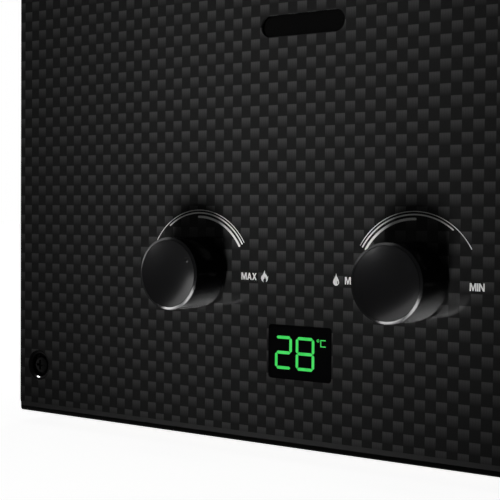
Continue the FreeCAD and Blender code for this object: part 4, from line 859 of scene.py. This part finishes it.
def studio_floor():
    """Matt pale paper: it takes the shadow, and looks white to the camera and in reflections."""
    made, tree, place = blank_material("pale_floor_paper")
    fibre = add(tree, "ShaderNodeTexNoise", {"Vector": place, "Scale": 900.0})
    shade = blend_of(tree, fibre.outputs["Fac"], ((0.3, "#ececea"), (0.7, "#f2f2f0")))
    paper = add(tree, "ShaderNodeBsdfDiffuse", {"Color": shade})
    away = add(tree, "ShaderNodeVectorMath", {0: place}, operation="LENGTH")
    level = add(tree, "ShaderNodeMapRange", {
        "Value": away.outputs["Value"], "From Min": 0.15, "From Max": 0.6, "To Min": 0.94, "To Max": 1.0,
    })
    lift = math_node(tree, "MULTIPLY", ray_share(tree), level.outputs[0])
    glow = add(tree, "ShaderNodeEmission", {"Color": colour("#ffffff"), "Strength": lift})
    both = add(tree, "ShaderNodeAddShader", {0: paper.outputs[0], 1: glow.outputs[0]})
    add(tree, "ShaderNodeOutputMaterial", {"Surface": both.outputs[0]})
    return made


floor_mesh = bpy.data.meshes.new("floor")
FLOOR_HALF = 6.0
corners = [(x * FLOOR_HALF, y * FLOOR_HALF, 0) for x, y in ((-1, -1), (1, -1), (1, 1), (-1, 1))]
floor_mesh.from_pydata(corners, [], [(0, 1, 2, 3)])
floor_mesh.materials.append(studio_floor())
floor = bpy.data.objects.new("floor", floor_mesh)
bpy.context.scene.collection.objects.link(floor)
floor.visible_shadow = False

world = bpy.data.worlds.new("studio")
bpy.context.scene.world = world
world.use_nodes = True
sky = world.node_tree
sky.nodes.clear()
fill = add(sky, "ShaderNodeBackground", {"Color": colour("#ffffff"), "Strength": 0.02})
white = add(sky, "ShaderNodeBackground", {"Color": colour("#ffffff"), "Strength": 1.0})
either = add(sky, "ShaderNodeMixShader", {0: ray_share(sky), 1: fill.outputs[0], 2: white.outputs[0]})
add(sky, "ShaderNodeOutputWorld", {"Surface": either.outputs[0]})


def lamp(name, place, target, size, power, spread=180, roll=0, only=(), blocked_by=(), off_floor=(), **seen):
    """A soft rectangular lamp that faces a point, for all pieces or only some. Metres and degrees."""
    data = bpy.data.lights.new(name, "AREA")
    data.shape = "RECTANGLE"
    data.size, data.size_y = size
    data.energy = power
    data.spread = math.radians(spread)
    made = bpy.data.objects.new(name, data)
    facing = (Vector(target) - Vector(place)).to_track_quat("-Z", "Y").to_matrix()
    made.rotation_euler = (facing @ Matrix.Rotation(math.radians(roll), 3, "Z")).to_euler()
    made.location = place
    made.visible_camera = False
    for rays, shown in seen.items():
        setattr(made, "visible_" + rays, shown)
    bpy.context.scene.collection.objects.link(made)
    roles = (("receiver_collection", only), ("blocker_collection", blocked_by), ("off_floor", off_floor))
    for role, members in roles:
        if not members:
            continue
        group = bpy.data.collections.new(name + "_" + role)
        for each in members:
            group.objects.link(each)
        if role == "off_floor":
            group.collection_objects[0].light_linking.link_state = "EXCLUDE"
            role = "receiver_collection"
        setattr(made.light_linking, role, group)


# The main light comes from under the table top, as on a lit shooting table: nine small lamps on one aim.
# They sit below the floor, which casts no shadow, so the shadows of the knobs fall upwards on the panel.
TABLE_AIM = (-0.02, -0.05, 0.14)
TABLE_LAMP_SIZE = (0.1, 0.05)
TABLE_LAMP_POWER = 0.0184
TABLE_LAMP_SPREAD = 17
for number, height in enumerate((-0.56, -0.73, -0.9)):
    for across in (-0.1, 0.0, 0.1):
        lamp(f"table_lamp_{number + 1}_{across}", (across, -1.0, height), TABLE_AIM, TABLE_LAMP_SIZE,
             TABLE_LAMP_POWER, TABLE_LAMP_SPREAD, glossy=False)

# Two boxes to the left gleam in the hollow faces of the knobs, one box in each knob.
lamp("gas_knob_softbox", (-1.276, -0.869, 0.38), (-0.046, -0.07, 0.068), (0.97, 0.53), 33.0, roll=45,
     only=glossy_pieces[:1], diffuse=False)
lamp("water_knob_softbox", (-0.932, -1.119, 0.506), (0.046, -0.07, 0.068), (0.97, 0.53), 33.0, roll=31,
     only=glossy_pieces[1:], diffuse=False)
BAR_WIDTH = 0.09
BAR_Z = 0.004
LACQUER_SHARE = 0.25
KNOB_TOP_Y = -0.07
KNOB_MIDDLE_Z = 0.068
# Two bars on the table in front of each knob gleam in its rim. The lacquer mirrors them towards the knob's
# side, and since its gloss is low against the white room, each bar's mirror image is a lamp as well.
for shell, knob_x, shift in zip(glossy_pieces, (-KNOB_X, KNOB_X), (-0.03, -0.009)):
    bar_x = knob_x * MM + shift
    for number, (near, deep, power) in enumerate(((-0.125, 0.022, 1.3), (-0.177, 0.054, 3.1))):
        far = 2 * FRONT * MM - near
        aim = (bar_x, KNOB_TOP_Y, KNOB_MIDDLE_Z)
        mirrored_aim = (bar_x, 2 * FRONT * MM - KNOB_TOP_Y, KNOB_MIDDLE_Z)
        lamp(f"{shell.name}_bar_{number + 1}", (bar_x, near, BAR_Z), aim, (BAR_WIDTH, deep), power,
             only=[shell], diffuse=False)
        lamp(f"{shell.name}_mirrored_bar_{number + 1}", (bar_x, far, BAR_Z), mirrored_aim, (BAR_WIDTH, deep),
             power * LACQUER_SHARE, only=[shell], blocked_by=[shell], diffuse=False)
lamp("cup_softbox", (-0.72, -0.45, 0.73), (-0.133, -0.05, 0.025), (0.3, 0.3), 520.0,
     only=[cups], diffuse=False)
BODY_AIM = (0, 0.05, 0.2)
lamp("floor_softbox", (0.0, 0.2, 1.6), BODY_AIM, (0.9, 0.7), 2.0, only=[floor])
lamp("top_softbox", (0.0, 0.2, 1.6), BODY_AIM, (0.9, 0.7), 9.0, off_floor=[floor])
lamp("right_softbox", (1.3, 0.35, 0.5), BODY_AIM, (0.5, 0.9), 8.0, off_floor=[floor])
lamp("back_left_softbox", (-1.2, 0.9, 0.6), BODY_AIM, (0.7, 0.9), 12.0, off_floor=[floor])

# The photograph's own view: from the lower right, close to the panel, through a long lens.
YAW, PITCH, ROLL = (math.radians(angle) for angle in (-35.86, -1.76, 0.43))
look = Vector((math.sin(YAW) * math.cos(PITCH), math.cos(YAW) * math.cos(PITCH), math.sin(PITCH)))
level = Vector((math.cos(YAW), -math.sin(YAW), 0))
upright = level.cross(look)
right = math.cos(ROLL) * level + math.sin(ROLL) * upright
up = math.cos(ROLL) * upright - math.sin(ROLL) * level
camera_data = bpy.data.cameras.new("camera")
camera_data.lens = 87.99
camera_data.sensor_width = 36.0
camera_data.clip_start = 0.01
camera = bpy.data.objects.new("camera", camera_data)
turned = Matrix((right, up, -look)).transposed().to_4x4()
camera.matrix_world = Matrix.Translation((0.2437, -0.4191, 0.0909)) @ turned
bpy.context.scene.collection.objects.link(camera)
bpy.context.scene.camera = camera
bpy.context.scene.view_settings.view_transform = "Standard"
